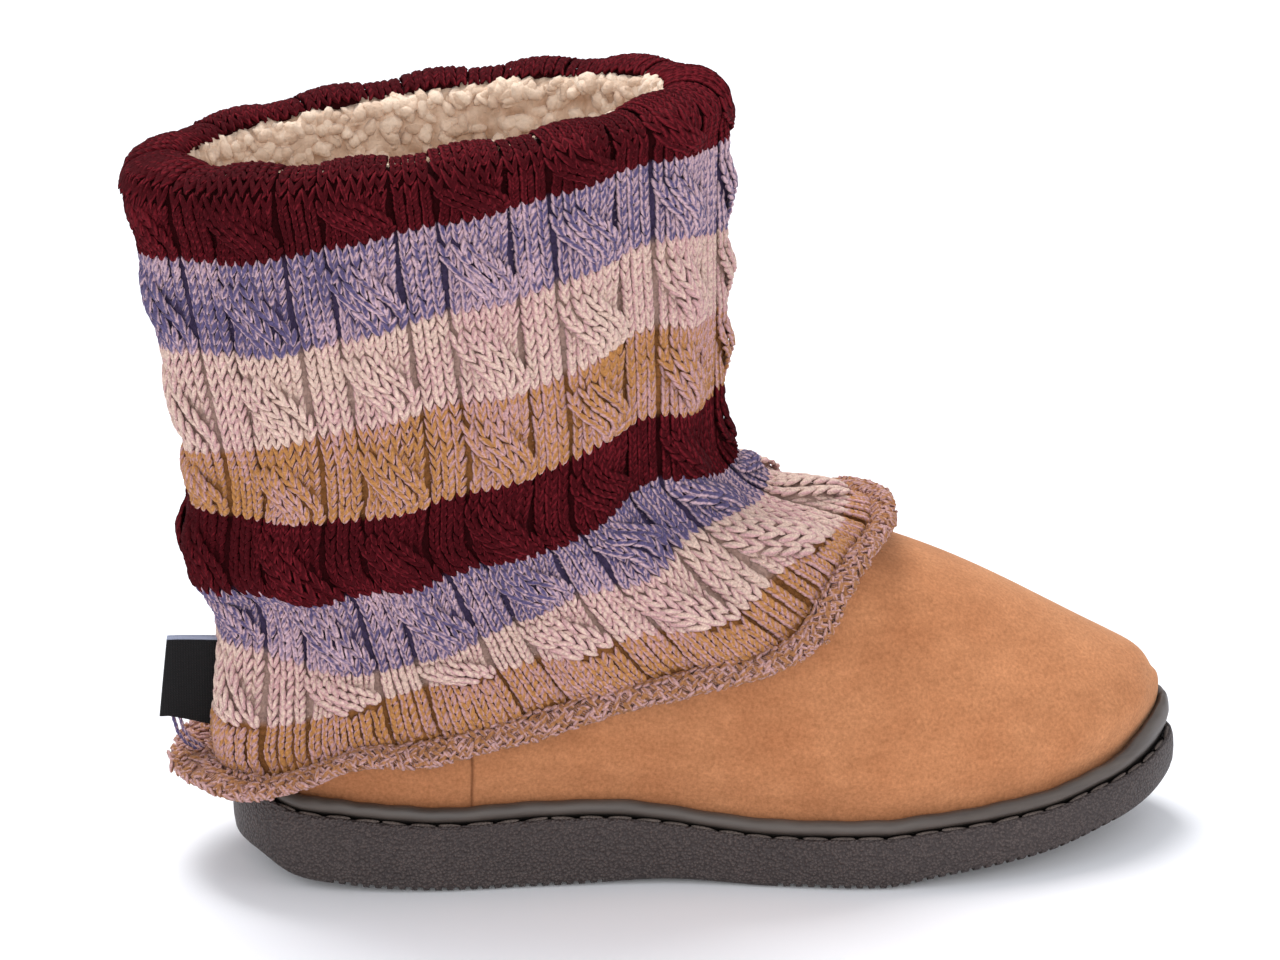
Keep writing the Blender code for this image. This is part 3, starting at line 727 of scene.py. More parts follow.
def rubberMaterial():
    made, tree, shader = startMaterial("pebbledRubber", 0.55, 0.35)
    place = objectPlace(tree)
    cells = node(tree, "ShaderNodeTexVoronoi", feature="SMOOTH_F1")
    socketSet(cells, Scale=rubber["pebbles"], Smoothness=0.30, Randomness=1.0)
    link(tree, place, cells.inputs["Vector"])
    pebble = cells.outputs["Distance"]
    dust = noiseNode(tree, place, 60.0, 4.0, 0.6)
    colour = mixNode(tree, rampNode(tree, pebble, 0.15, 0.6), rubber["light"], rubber["dark"])
    colour = tintNode(tree, colour, dust, 0.3, 0.8, (0.88, 0.88, 0.88), (1.10, 1.09, 1.08))
    colour = mixNode(tree, attribute(tree, "channel"), colour, rubber["shadow"])
    paint(tree, shader, colour, bumpNode(tree, mathNode(tree, "SUBTRACT", 1.0, pebble), rubber["grain"]))
    return made


def soleProfile():
    # way in, share of the side's height and rise of each line round the sole, from the lower edge up
    radius, lip, deep = sole["edgeRadius"], rubber["lip"], rubber["channelDepth"]
    profile = []
    for turn in np.linspace(0, math.pi / 2, 6):
        profile.append((radius * (1 - math.sin(turn)), 0.0, radius * (1 - math.cos(turn))))
    for share in (0.25, 0.40, 0.55, 0.70, 0.85):
        swell = math.sin(math.pi * np.interp(share, (0, rubber["bulgeAt"], 1), (0, 0.5, 1)))
        profile.append((-sole["bulge"] * swell, share, 0.0))
    for turn in np.linspace(0, math.pi / 2, 4):
        profile.append((lip * (1 - math.cos(turn)), 1.0, -lip * (1 - math.sin(turn))))
    channel = [(0.0010, 1.0, -0.0004), (0.0012, 1.0, -deep), (0.0026, 1.0, -deep), (0.0060, 1.0, -deep)]
    return profile + channel, len(profile)


def makeSole():
    half, cut, onPad = soleStations()
    n = len(half)
    theta = np.concatenate([half, 2 * np.pi - half[-2:0:-1]])
    mirror = np.concatenate([np.arange(n), np.arange(n - 2, 0, -1)])
    groove = cut[mirror]
    around = len(theta)
    profile, lipEnd = soleProfile()
    rings = []
    for inset, share, offset in profile:
        plan = insetOutline(theta, np.full(around, inset))
        low = bottom(plan[:, 0])
        z = low + share * sideHeight(plan[:, 0]) + offset
        z = np.where(groove > 0, np.maximum(z, low + sole["ribDepth"]), z)
        rings.append(np.column_stack([plan, z]))
    points = list(np.concatenate(rings))
    channel = np.zeros((len(rings), around))
    channel[lipEnd:] = rubber["channelShade"]
    faces = gridFaces(len(rings), around)
    faces += ladderFaces((len(rings) - 1) * around, around, False)
    # underside: four lines of points between the two edges, which leave the pads smooth
    lines = []
    radius, wall = sole["edgeRadius"], sole["padWidth"] / 2
    plan = insetOutline(half, np.full(n, radius))
    near, far = plan[:, 1], insetOutline(2 * np.pi - half, np.full(n, radius))[:, 1]
    for y, inPad in ((-wall - rubber["wallStep"], 0), (-wall, 1), (wall, 1), (wall + rubber["wallStep"], 0)):
        width = np.clip(y, near + (far - near) * 0.1, near + (far - near) * 0.9)
        deep = (cut > 0) & ~(onPad & (inPad > 0))
        z = bottom(plan[:, 0]) + np.where(deep, sole["ribDepth"], 0)
        lines.append(len(points) + np.arange(n))
        points += list(np.column_stack([plan[:, 0], width, z]))
    edgeFar = np.concatenate([[0], around - np.arange(1, n - 1), [n - 1]])
    strips = [np.arange(n), *lines, edgeFar]
    for a, b in zip(strips[:-1], strips[1:]):
        for i in range(n - 1):
            corners = list(dict.fromkeys(int(c) for c in (a[i], b[i], b[i + 1], a[i + 1])))
            if len(corners) > 2:
                faces.append(corners)
    channel = np.concatenate([channel.ravel(), np.zeros(len(points) - channel.size)])
    made = addPiece("outsole_detailed", points, faces, rubberMaterial(), marks={"channel": channel})
    made.data.set_sharp_from_angle(angle=math.radians(42))
    finishPiece(made, "sole_rubber", "outsole")


makeSole()


# Bead and its stitches

bead = {
    "dark": srgb(66, 57, 52),
    "light": srgb(88, 78, 71),
    "points": 480,
    "sink": 0.0006,
    "shoulder": 0.0021,
    "tipClimb": 0.0062,  # how far the bead climbs at the toe's tip
    "tipFrom": 0.90,
}
stitch = {
    "pitch": 0.0080,
    "length": 0.0072,
    "width": 0.0013,
    "inset": 0.0015,
    "lift": -0.0001,
    "wander": 0.00015,
    "dark": srgb(62, 52, 47),
    "light": srgb(104, 91, 84),
}


def beadMaterial():
    made, tree, shader = startMaterial("smoothRubber", 0.42, 0.5)
    place = objectPlace(tree)
    streak = noiseNode(tree, place, 90.0, 4.0, 0.6, (0.35, 0.35, 3.0))
    smear = noiseNode(tree, place, 25.0, 3.0, 0.6)
    colour = rampNode(tree, streak, 0.3, 0.75, (bead["dark"], bead["light"]))
    colour = tintNode(tree, colour, smear, 0.3, 0.8, (0.85, 0.85, 0.85), (1.12, 1.12, 1.12))
    colour = mixNode(tree, attribute(tree, "channel"), colour, rubber["shadow"])
    rough = mathNode(tree, "ADD", mathNode(tree, "MULTIPLY", streak, 0.3), 0.32)
    link(tree, rough, shader.inputs["Roughness"])
    paint(tree, shader, colour, bumpNode(tree, streak, 0.00018))
    return made


def makeBead():
    theta = np.linspace(0, 2 * np.pi, bead["points"], endpoint=False)
    back = sole["weltSetback"]
    inner = back + sole["weltWidth"]
    # way in and share of the height, from the inner lower edge round the outside
    profile = [(inner, 0.0), (back + 0.0022, 0.0), (back + 0.0012, 0.22), (back + 0.0005, 0.34)]
    for turn in np.linspace(0, math.pi / 2, 9):
        profile.append((back + bead["shoulder"] * (1 - math.cos(turn)), 0.50 + 0.50 * math.sin(turn)))
    profile += [(back + 0.0030, 0.97), (inner - 0.0006, 0.86), (inner, 0.78)]
    rings = []
    for inset, share in profile:
        plan = insetOutline(theta, np.full(len(theta), inset))
        base = soleTop(plan[:, 0]) - bead["sink"]
        wave = 0.00012 * np.sin(theta * 61) + 0.0001 * np.sin(theta * 23 + 1)
        toe = smoothStep((plan[:, 0] / sole["length"] - bead["tipFrom"]) / (1 - bead["tipFrom"]))
        top = weltTop(plan[:, 0]) + wave + bead["tipClimb"] * toe
        rings.append(np.column_stack([plan, base + share * (top - base)]))
    foot = np.zeros((len(rings), len(theta)))
    foot[:3] = 0.8
    foot[3] = 0.25
    faces = gridFaces(len(rings), len(theta), True)
    made = addPiece("welt_bead", np.concatenate(rings), faces, beadMaterial(), marks={"channel": foot})
    finishPiece(made, "welt_rubber", "welt")


def threadMaterial():
    made, tree, shader = startMaterial("soleThread", 0.7, 0.5)
    hair = noiseNode(tree, objectPlace(tree), 1800.0, 2.0)
    colour = rampNode(tree, hair, 0.3, 0.7, (stitch["dark"], stitch["light"]))
    paint(tree, shader, colour, bumpNode(tree, hair, 0.0003))
    return made


def makeSoleStitches():
    theta = np.linspace(0, 2 * np.pi, 4001)
    plan = insetOutline(theta, np.full(len(theta), stitch["inset"]))
    line = np.column_stack([plan, soleTop(plan[:, 0]) + stitch["lift"]])
    reach = lengthAlong(line)
    count = int(round(reach[-1] / stitch["pitch"]))
    rng = np.random.default_rng(seed)
    at = (np.arange(count) + 0.5) / count * reach[-1] + rng.normal(0, stitch["wander"], count)
    centre, ahead = (np.column_stack([np.interp(at + step, reach, line[:, i]) for i in range(3)])
                     for step in (0, 0.001))
    along = ahead - centre
    along[:, 2] += rng.normal(0, 0.00006, count)
    up = np.tile([0.0, 0.0, 1.0], (count, 1))
    size = np.tile([stitch["width"], stitch["width"], stitch["length"]], (count, 1))
    size = size * rng.uniform(0.93, 1.05, (count, 1))
    batch = (centre, along, up, size, rng.random(count))
    finishPiece(layStrands("sole_stitches", [batch], threadMaterial(), 8, 8), "welt_rubber")


makeBead()
makeSoleStitches()


# Suede upper

suede = {
    "colour": srgb(182, 123, 84),
    "shade": srgb(171, 111, 74),
    "light": srgb(196, 138, 98),
    "seamColour": srgb(96, 56, 34),
    "seams": (58.5, -58.5),  # degrees round from the heel
    "seamReach": 62.0,  # mm from the middle of the foot to a seam
    "around": 300,
    # soft troughs and ridges: way forward, side (0 for both), then in mm their height over the sole,
    # length, height and depth
    "creases": (
        (0.900, 0, 40, 24.0, 18.0, 1.50),
        (0.780, 0, 56, 26.0, 20.0, 1.30),
        (0.985, 0, 19, 6.0, 6.0, -1.50),
        (0.845, -1, 14, 3.0, 9.0, -0.55),
        (0.815, -1, 18, 6.0, 12.0, 0.35),
        (0.880, -1, 20, 5.0, 12.0, 0.30),
        (0.700, -1, 12, 16.0, 7.0, 0.45),
        (0.560, -1, 14, 18.0, 9.0, -0.60),
        (0.480, -1, 22, 12.0, 10.0, 0.55),
        (0.400, -1, 12, 10.0, 8.0, -0.40),
        (0.640, -1, 34, 22.0, 8.0, -0.45),
        (0.760, -1, 40, 20.0, 10.0, 0.35),
        (0.930, -1, 30, 10.0, 6.0, -0.30),
        (0.820, 1, 16, 5.0, 12.0, -0.55),
        (0.740, 1, 20, 12.0, 10.0, 0.40),
        (0.620, 1, 18, 12.0, 12.0, -0.60),
        (0.520, 1, 20, 10.0, 14.0, 0.50),
        (0.430, 1, 16, 12.0, 9.0, -0.50),
        (0.900, 1, 26, 10.0, 10.0, 0.30),
    ),
}


def suedeMaterial():
    made, tree, shader = startMaterial("suedeNap", 0.95, 0.1, 0.35, 0.45)
    shader.inputs["Sheen Tint"].default_value = srgb(240, 205, 170)
    place = objectPlace(tree)
    cloud = noiseNode(tree, place, 38.0, 4.0, 0.6)
    brush = noiseNode(tree, place, 120.0, 3.0, 0.6, (0.5, 1.0, 1.6))
    nap = noiseNode(tree, place, 1000.0, 4.0, 0.7)
    colour = rampNode(tree, cloud, 0.30, 0.72, (suede["shade"], suede["light"]))
    colour = mixNode(tree, 0.45, colour, suede["colour"])
    colour = tintNode(tree, colour, brush, 0.30, 0.75, (0.90, 0.88, 0.86), (1.07, 1.07, 1.07))
    colour = tintNode(tree, colour, nap, 0.28, 0.72, (0.74, 0.71, 0.68), (1.22, 1.22, 1.22))
    colour = mixNode(tree, attribute(tree, "seam"), colour, suede["seamColour"])
    bump = bumpNode(tree, cloud, 0.0004, 0.5)
    paint(tree, shader, colour, bumpNode(tree, nap, 0.00022, 0.8, bump))
    return made


def seamDents(t):
    # how dark each place of a seam is, and how deep it lies in mm
    mark, dent = np.zeros_like(t), np.zeros_like(t)
    for degrees in suede["seams"]:
        far = np.abs(t - math.radians(degrees) % (2 * math.pi)) * suede["seamReach"]
        mark = np.maximum(mark, 0.75 * np.exp(-((far / 0.22) ** 2)))
        dent -= 0.7 * np.exp(-((far / 0.30) ** 2)) - 0.2 * np.exp(-((far / 1.6) ** 2))
    return mark, dent


def creaseDents(t, points, over):
    forward = wayForward(t)
    side = np.where(np.sin(t) > 0, -1, 1)
    dent = np.zeros_like(t)
    for way, crease, height, length, tall, depth in suede["creases"]:
        place = points[..., 0] / sole["length"] if crease == 0 else forward
        along = (place - way) * sole["length"] * 1000
        spot = np.exp(-((along / length) ** 2) - (((over - height) / tall) ** 2))
        dent += np.where((side == crease) | (crease == 0), depth * spot, 0)
    return dent


def makeUpper():
    beside = (0.003, 0.006, 0.011, 0.018, 0.030)
    seams = [math.radians(degrees) % (2 * math.pi) + d for degrees in suede["seams"]
             for d in (*(-d for d in beside[::-1]), 0.0, *beside)]
    theta = np.linspace(0, 2 * np.pi, suede["around"], endpoint=False)
    theta = np.array(sorted([t for t in theta if min(abs(t - s) for s in seams) > 0.012] + seams))
    levels = np.concatenate([np.linspace(0, 8, 65), np.linspace(8.4, collarLevel, 12)])
    t, v = np.meshgrid(theta, levels)
    points = body(t, v)
    over = (points[..., 2] - soleTop(points[..., 0])) * 1000
    seamMark, dent = seamDents(t)
    dent += creaseDents(t, points, over)
    near = np.exp(-((over - 6.5) / 3.0) ** 2)
    dent += near * (0.16 * softNoise(points, 0.0075) + 0.10 * np.sin(t * 84))  # gathers over the bead
    dent += 0.35 * softNoise(points, 0.028) + 0.10 * softNoise(points, 0.009, 6)
    dent *= np.clip((over - 4) / 5, 0, 1)
    outer = points + bodyNormal(t, v) * (dent / 1000)[..., None]
    inner = bodyOffset(t[::3], v[::3], np.full(t[::3].shape, -boot["wall"]))
    inner[0, :, 2] = outer[0, :, 2]
    stack = np.concatenate([outer, inner[::-1]])
    marks = np.concatenate([seamMark, np.zeros(inner.shape[:2])])
    faces = gridFaces(len(stack), len(theta), True)
    made = addPiece("suede_upper", stack, faces, suedeMaterial(), marks={"seam": marks})
    finishPiece(made, "suede", "upper")


makeUpper()


# Fleece

fleece = {
    # painted shade in the hollows between the lining's lumps; the tufts' random tones mix it in too
    "shade": srgb(186, 146, 116),
    "light": srgb(246, 222, 200),
    "lump": 0.0052,
    "swell": 0.0030,
    "bulge": 0.0042,  # how far it swells in just under the collar
    "crown": 0.0030,  # how far it stands up behind the roll's lip
    "edgeRadius": 0.0036,
    "tufts": 2300,
    "tuftDepth": 0.11,  # share of the way down the inside that the tufts cover
    "topTufts": 0.2,  # share of the tufts that stand on the top edge
    "crimp": 0.0008,
}


def fleeceMaterial():
    made, tree, shader = startMaterial("creamFleece", 0.95, 0.1, 0.3)
    place = objectPlace(tree)
    hair = noiseNode(tree, place, 900.0, 4.0, 0.7)
    curl = noiseNode(tree, place, 330.0, 3.0, 0.6)
    # tone: on the lining and footbed it is the lumps' height, which paints shade into the hollows between
    # them; on the tufts it is a random tone
    colour = rampNode(tree, attribute(tree, "tone"), 0.05, 0.85, (fleece["shade"], fleece["light"]))
    colour = tintNode(tree, colour, curl, 0.3, 0.75, (0.90, 0.88, 0.85), (1.05, 1.05, 1.05))
    colour = tintNode(tree, colour, hair, 0.3, 0.7, (0.90, 0.90, 0.89), (1.05, 1.05, 1.05))
    bump = bumpNode(tree, curl, 0.0011, 0.8)
    paint(tree, shader, colour, bumpNode(tree, hair, 0.0005, 0.8, bump))
    return made


fleeceFinish = fleeceMaterial()


def lumps(points):
    # height from 0 to 1 of rounded tufts of two sizes
    warp = points + 0.0012 * np.stack([softNoise(points, 0.006, k) for k in (7, 8, 9)], axis=-1)
    near, tone = nearestTuft(warp, fleece["lump"])
    big = np.clip(1 - (near / 0.85) ** 2, 0, 1) * (0.6 + 0.4 * tone)
    near, _ = nearestTuft(warp, fleece["lump"] * 0.5)
    small = np.clip(1 - (near / 0.85) ** 2, 0, 1)
    return 0.72 * big + 0.28 * small


def fleeceFace(theta, s, low):
    # inner face of the fleece: 0 at the footbed, 1 at the collar, and up to 1.2 over its soft top edge
    v = low + np.minimum(s, 1.0) * (collarLevel - low)
    normal = bodyNormal(theta, v)
    rise = unit(body(theta, v) - body(theta, v - 0.05))
    back = smoothStep((wayForward(theta) - 0.02) / 0.22)  # the roll's lip covers more of it at the back
    bulge = fleece["bulge"] * smoothStep((s - 0.86) / 0.12) * (0.1 + 0.9 * back)
    turn = np.clip((s - 1) / 0.2, 0, 1) * np.radians(140)
    depth = boot["wall"] + sole["clearance"] + boot["fleece"] - fleece["swell"] * 0.5 + bulge
    depth = depth - fleece["edgeRadius"] * (1 - np.cos(turn))
    point = body(theta, v) - normal * depth[..., None] + rise * (fleece["crown"] * np.sin(turn))[..., None]
    facing = -normal * np.cos(turn)[..., None] + rise * np.sin(turn)[..., None]
    return point, facing


def fleeceFoot(theta):
    return levelAt(theta, insoleTop(body(theta, np.zeros_like(theta))[:, 0]) + 0.0010)


def makeLining():
    theta = np.linspace(0, 2 * np.pi, 300, endpoint=False)
    low = fleeceFoot(theta)
    share = np.concatenate([np.linspace(0, 0.85, 16), np.linspace(0.86, 1.0, 38), np.linspace(1.02, 1.2, 10)])
    t, s = np.meshgrid(theta, share)
    base, facing = fleeceFace(t, s, low)
    height = lumps(base)
    fade = np.clip(s / 0.03, 0, 1) * np.clip((1.22 - s) / 0.1, 0, 1)
    inner = base + facing * (fleece["swell"] * height * fade)[..., None]
    v = low + np.linspace(0, 1, 24)[:, None] * (collarLevel - low)
    outer = bodyOffset(np.tile(theta, (24, 1)), v, np.full(v.shape, -boot["wall"] - sole["clearance"]))
    stack = np.concatenate([inner[::-1], outer])
    # the lumps' height is also the tone, which paints shade into the hollows between them
    marks = np.concatenate([height[::-1], np.zeros(outer.shape[:2])])
    faces = gridFaces(len(stack), len(theta), True)
    made = addPiece("fleece_lining", stack, faces, fleeceFinish, marks={"tone": marks})
    finishPiece(made, "fleece", "lining")


def makeTufts():
    # curled tufts of the fleece where it shows, from the collar down
    rng = np.random.default_rng(seed + 5)
    count = fleece["tufts"]
    theta = (np.arange(count) + rng.uniform(0, 1, count)) / count * 2 * np.pi
    theta = theta[rng.permutation(count)]
    onTop = rng.random(count) < fleece["topTufts"]
    s = np.where(onTop, rng.uniform(1.0, 1.07, count), rng.uniform(1 - fleece["tuftDepth"], 1.0, count))
    base, facing = fleeceFace(theta, s, fleeceFoot(theta))
    lift = fleece["swell"] * lumps(base) * 0.9 + rng.uniform(-0.0006, 0.0006, count)
    centre = base + facing * lift[:, None]
    along = rng.normal(0, 1, (count, 3))
    along -= facing * (np.sum(along * facing, axis=1) * 0.8)[:, None]
    size = [rng.uniform(low, high, count) / 1000 for low, high in ((3.2, 4.8), (2.8, 4.0), (4.2, 6.6))]
    batch = (centre, along, facing, np.stack(size, axis=-1), rng.uniform(0.45, 1.0, count))
    made = layStrands("fleece_tufts", [batch], fleeceFinish, 6, 4)
    places = np.empty(len(made.data.vertices) * 3, np.float32)
    made.data.vertices.foreach_get("co", places)
    places = places.reshape(-1, 3)
    curls = np.stack([softNoise(places, 0.0024, salt) for salt in (21, 22, 23)], axis=-1)
    places += fleece["crimp"] * curls
    made.data.vertices.foreach_set("co", places.ravel())
    finishPiece(made, "fleece")


def makeFootbed():
    inset = sole["weltSetback"] + sole["weltWidth"] + sole["clearance"] * 3 + boot["wall"]
    theta = np.linspace(0, 2 * np.pi, 200, endpoint=False)
    edge = insetOutline(theta, np.full(len(theta), inset))
    spine = np.array([sole["length"] * 0.5, 0.002])
    rows = [np.column_stack([edge, soleTop(edge[:, 0]) + sole["seatGap"]])]
    marks = [np.zeros(len(theta))]
    for scale in np.linspace(1.0, 0.03, 40):
        plan = spine + (edge - spine) * scale
        flat = np.column_stack([plan, insoleTop(plan[:, 0]) - 0.0008])
        height = lumps(flat)
        flat[:, 2] += 0.0014 * height * min(1, (1 - scale) * 20)
        rows.append(flat)
        # the lumps' height is also the tone: painted shade in the hollows
        marks.append(height)
    around, last = len(theta), (len(rows) - 1) * len(theta)
    faces = gridFaces(len(rows), around)
    faces.append(list(range(last, last + around)))
    faces += ladderFaces(0, around, True)
    made = addPiece("fleece_footbed", np.array(rows), faces, fleeceFinish, marks={"tone": np.array(marks)})
    finishPiece(made, "fleece", "insole")


makeLining()
makeTufts()
makeFootbed()


# Knitted sleeve

knit = {
    "repeats": 13,  # cables round the sleeve
    "repeatWidth": 33.0,  # relaxed width of cable and rib, in mm
    "wale": 3.4,
    "ribs": (-3.9, 0.0, 3.9),
    "gutter": 6.3,
    "strandWidth": 1.75,
    "strandLength": 4.7,
    "rowPitch": 2.7,
    "lean": 19.0,  # degrees of a strand off its wale
    "fit": 0.0006,
    "wallHeight": 3.0,  # middle of a strand above the sleeve's inner face, mm
    "dome": 2.7,
    "squeeze": 0.16,  # how far a crossing pulls its cable in
    "gutterDepth": 1.9,
    "cross": 2.2,
    "crossRows": 3.2,  # rows from the middle of a crossing to its end
    "foldDepth": 0.0095,
    "hemBack": 0.034,
    "hemFront": 0.0905,
    "rollCrown": 0.0026,
    "lipEnd": 1.80,  # 1 at the collar's rim, 2 where the roll has turned right over
    # yarn and rows, from the hem up
    "stripes": (
        ("ochre", 7, "ochre_lower"),
        ("pink", 7, "pink_lower"),
        ("purple", 9, "purple_lower"),
        ("burgundy", 10, "burgundy_ankle"),
        ("ochre", 9, "ochre_upper"),
        ("pink", 9, "pink_upper"),
        ("purple", 9, "purple_upper"),
        ("burgundy", 15, "burgundy_cuff"),
    ),
    "crossings": (9.6, 18.2, 27.4, 36.8, 45.8, 54.8, 64.6),
    # way forward, then the share of the way up at each stripe's upper border
    "borders": (
        (0.00, 0.095, 0.350, 0.520, 0.680, 0.790, 0.893, 0.962),
        (0.06, 0.115, 0.280, 0.494, 0.667, 0.796, 0.889, 0.959),
        (0.14, 0.130, 0.215, 0.456, 0.654, 0.803, 0.886, 0.959),
        (0.25, 0.150, 0.242, 0.462, 0.652, 0.806, 0.893, 0.966),
        (0.35, 0.160, 0.276, 0.462, 0.662, 0.807, 0.897, 0.970),
        (0.45, 0.140, 0.300, 0.456, 0.679, 0.807, 0.900, 0.973),
        (0.55, 0.123, 0.290, 0.486, 0.690, 0.811, 0.904, 0.977),
        (0.65, 0.117, 0.306, 0.535, 0.697, 0.820, 0.907, 0.981),
        (0.75, 0.105, 0.284, 0.540, 0.686, 0.815, 0.906, 0.980),
        (0.85, 0.075, 0.245, 0.468, 0.663, 0.800, 0.900, 0.976),
        (0.93, 0.060, 0.240, 0.425, 0.657, 0.792, 0.887, 0.969),
        (1.00, 0.055, 0.240, 0.398, 0.655, 0.785, 0.874, 0.962),
    ),
    # way up, back, side, front
    "slack": (
        (0.00, 0.72, 0.60, 0.22),
        (0.12, 0.56, 0.50, 0.22),
        (0.26, 0.42, 0.42, 0.22),
        (0.38, 0.36, 0.42, 0.20),
        (0.45, 0.50, 0.38, 0.12),
        (0.52, 1.06, 0.34, 0.02),
        (0.59, 0.92, 0.26, 0.00),
        (0.66, 0.52, 0.16, 0.00),
        (0.75, 0.26, 0.05, 0.00),
        (0.88, 0.18, 0.00, 0.00),
        (1.00, 0.34, 0.08, 0.06),
    ),
    # way forward, climb
    "hem": (
        (0.00, 0.000),
        (0.17, 0.190),
        (0.30, 0.345),
        (0.50, 0.585),
        (0.65, 0.660),
        (0.80, 0.858),
        (0.90, 0.945),
        (1.00, 1.000),
    ),
}
stitchLook = {
    "rowWander": 0.05,  # rows
    "sideSink": 0.9,  # how much lower the outer wales of a crossing lie than its middle one, mm
    "underSink": 1.1,  # how far the rest of the cable sinks beside it, mm
    "hide": 1.45,  # wales to each side of a crossing strand that it covers
    "tip": 7.0,  # degrees that a strand dips into the one above
    "spread": 0.00080,  # from the middle of a wale to each leg of its stitches
    "depth": 1.75,
    "purl": (0.00115, 0.00115, 0.0036),
    "blotch": 0.013,
    "hemSink": 1.5,  # how far the first row sinks into the edging, mm
}
rowEnds = np.cumsum([0] + [rows for _, rows, _ in knit["stripes"]])
totalRows = int(rowEnds[-1])
totalWidth = knit["repeats"] * knit["repeatWidth"]


def slack(theta, share):
    back, side, front = (curve(knit["slack"], column, share) for column in (1, 2, 3))
    ends = np.where(np.cos(theta) > 0, back, front)
    return knit["foldDepth"] * (side * np.sin(theta) ** 2 + ends * np.cos(theta) ** 2)


def hemLevel(theta):
    climb = curve(knit["hem"], 1, wayForward(theta))
    return levelAt(theta, knit["hemBack"] + (knit["hemFront"] - knit["hemBack"]) * climb)


def sleeveGround(theta, share, low):
    # inner face of the sleeve, and past share 1 its path over the collar
    up = np.minimum(share, 1.0)
    v = low + up * (collarLevel - low)
    rim = np.full_like(theta, float(collarLevel))
    rise = unit(body(theta, rim) - body(theta, rim - 0.01))
    stack = boot["wall"] + boot["fleece"] + 2 * sole["clearance"]
    half = (knit["fit"] + stack) / 2
    turn = np.clip(share - 1, 0, 1) * np.pi
    outward = knit["fit"] - half + half * np.cos(turn) + slack(theta, up) * np.maximum(np.cos(turn), 0)
    lift = (sole["clearance"] + knit["rollCrown"]) * np.sin(turn) - np.maximum(share - 2, 0) * 0.010
    return bodyOffset(theta, v, outward) + rise * lift[..., None]


def rowLevels(theta, rowAt):
    # how far up the sleeve each row lies, from the stripes' borders
    borders = np.array(knit["borders"])
    forward = wayForward(theta[0])
    marks = [np.zeros_like(forward)] + [hermite(borders[:, 0], column, forward) for column in borders.T[1:]]
    rows = rowEnds[:-1].astype(float)
    return np.column_stack([hermite(rows, ends, rowAt) for ends in np.array(marks).T])


sleeveGrid = {
    "turns": 1200,  # angles at which the hem is found
    "levels": 80,  # steps up the sleeve at which its girth is shared out
    "around": 780,
    "rowSteps": 4,
    "cuffSteps": 70,
}


def sleeveSurface():
    # grid over rows and round the sleeve: ground points and outward normals
    levels = sleeveGrid["levels"]
    turns = np.linspace(0, 2 * np.pi, sleeveGrid["turns"] + 1)
    hem = hemLevel(turns)
    spacing = []
    for share in np.linspace(0, 1, levels + 1):  # angles at equal lengths round each level
        reach = lengthAlong(sleeveGround(turns, np.full_like(turns, share), hem))
        spacing.append(np.interp(np.linspace(0, reach[-1], sleeveGrid["around"] + 1), reach, turns))
    spacing = np.array(spacing)
    rowAt = np.arange(totalRows * sleeveGrid["rowSteps"] + 1) / sleeveGrid["rowSteps"]
    flat = rowAt <= rowEnds[-2]
    theta = np.tile(spacing[levels // 2], (int(flat.sum()), 1))
    column = np.arange(theta.shape[1])
    for _ in range(4):
        share = rowLevels(theta, rowAt[flat])
        level = np.clip(share, 0, 1) * levels
        i = np.clip(level.astype(int), 0, levels - 1)
        f = level - i
        theta = spacing[i, column] * (1 - f) + spacing[i + 1, column] * f
    lower = sleeveGround(theta, share, np.interp(theta, turns, hem))
    # the cuff has equal steps from its border over the roll and down inside
    start = share[-1]
    path = start + (knit["lipEnd"] - start) * np.linspace(0, 1, sleeveGrid["cuffSteps"])[:, None]
    thetaCuff = theta[-1] + (spacing[-1] - theta[-1]) * np.clip((path - start) / (1 - start), 0, 1)
    cuff = sleeveGround(thetaCuff, path, np.interp(thetaCuff, turns, hem))
    rows = (rowAt[~flat] - rowEnds[-2]) / (totalRows - rowEnds[-2])
    upper = []
    for j in column:
        reach = lengthAlong(cuff[:, j])
        upper.append(np.column_stack([np.interp(rows * reach[-1], reach, cuff[:, j, k]) for k in range(3)]))
    ground = np.concatenate([lower, np.swapaxes(np.array(upper), 0, 1)])[:, :-1]
    across = np.roll(ground, -1, axis=1) - np.roll(ground, 1, axis=1)
    normal = unit(np.cross(across, np.gradient(ground, axis=0)))
    for _ in range(3):
        normal[1:-1] = (normal[:-2] + normal[1:-1] + normal[2:]) / 3
    return ground, unit(normal)


ground, groundNormal = sleeveSurface()
print("sleeve surface", ground.shape)


def onSleeve(row, around, height):
    # row, way round (0 to 1) and height in mm to a point
    r = np.clip(row * sleeveGrid["rowSteps"], 0, ground.shape[0] - 1.001)
    a = np.mod(around, 1.0) * ground.shape[1]
    i, j = np.floor(r).astype(int), np.floor(a).astype(int) % ground.shape[1]
    fr, fa = (r - i)[..., None], (a - np.floor(a))[..., None]
    k = (j + 1) % ground.shape[1]

    def pick(grid):
        low = grid[i, j] * (1 - fa) + grid[i, k] * fa
        high = grid[i + 1, j] * (1 - fa) + grid[i + 1, k] * fa
        return low * (1 - fr) + high * fr

    normal = unit(pick(groundNormal))
    return pick(ground) + normal * np.asarray(height)[..., None] / 1000, normal


def crossingPlace(row, crossing):
    # middle of the strand that crosses over from the upper left to the lower right, in mm
    way = smoothStep((row - crossing + knit["crossRows"]) / (2 * knit["crossRows"]))
    return 1.5 * knit["wale"] * (1 - 2 * way)


def nearCrossing(row, crossing):
    return np.exp(-(((row - crossing) / knit["crossRows"]) ** 2))


def cableDome(u):
    return knit["dome"] * (1 - (u / (3.4 * knit["wale"])) ** 2)


# Paths of the wales: each gives the place across its repeat (mm), the height (mm), and what is hidden

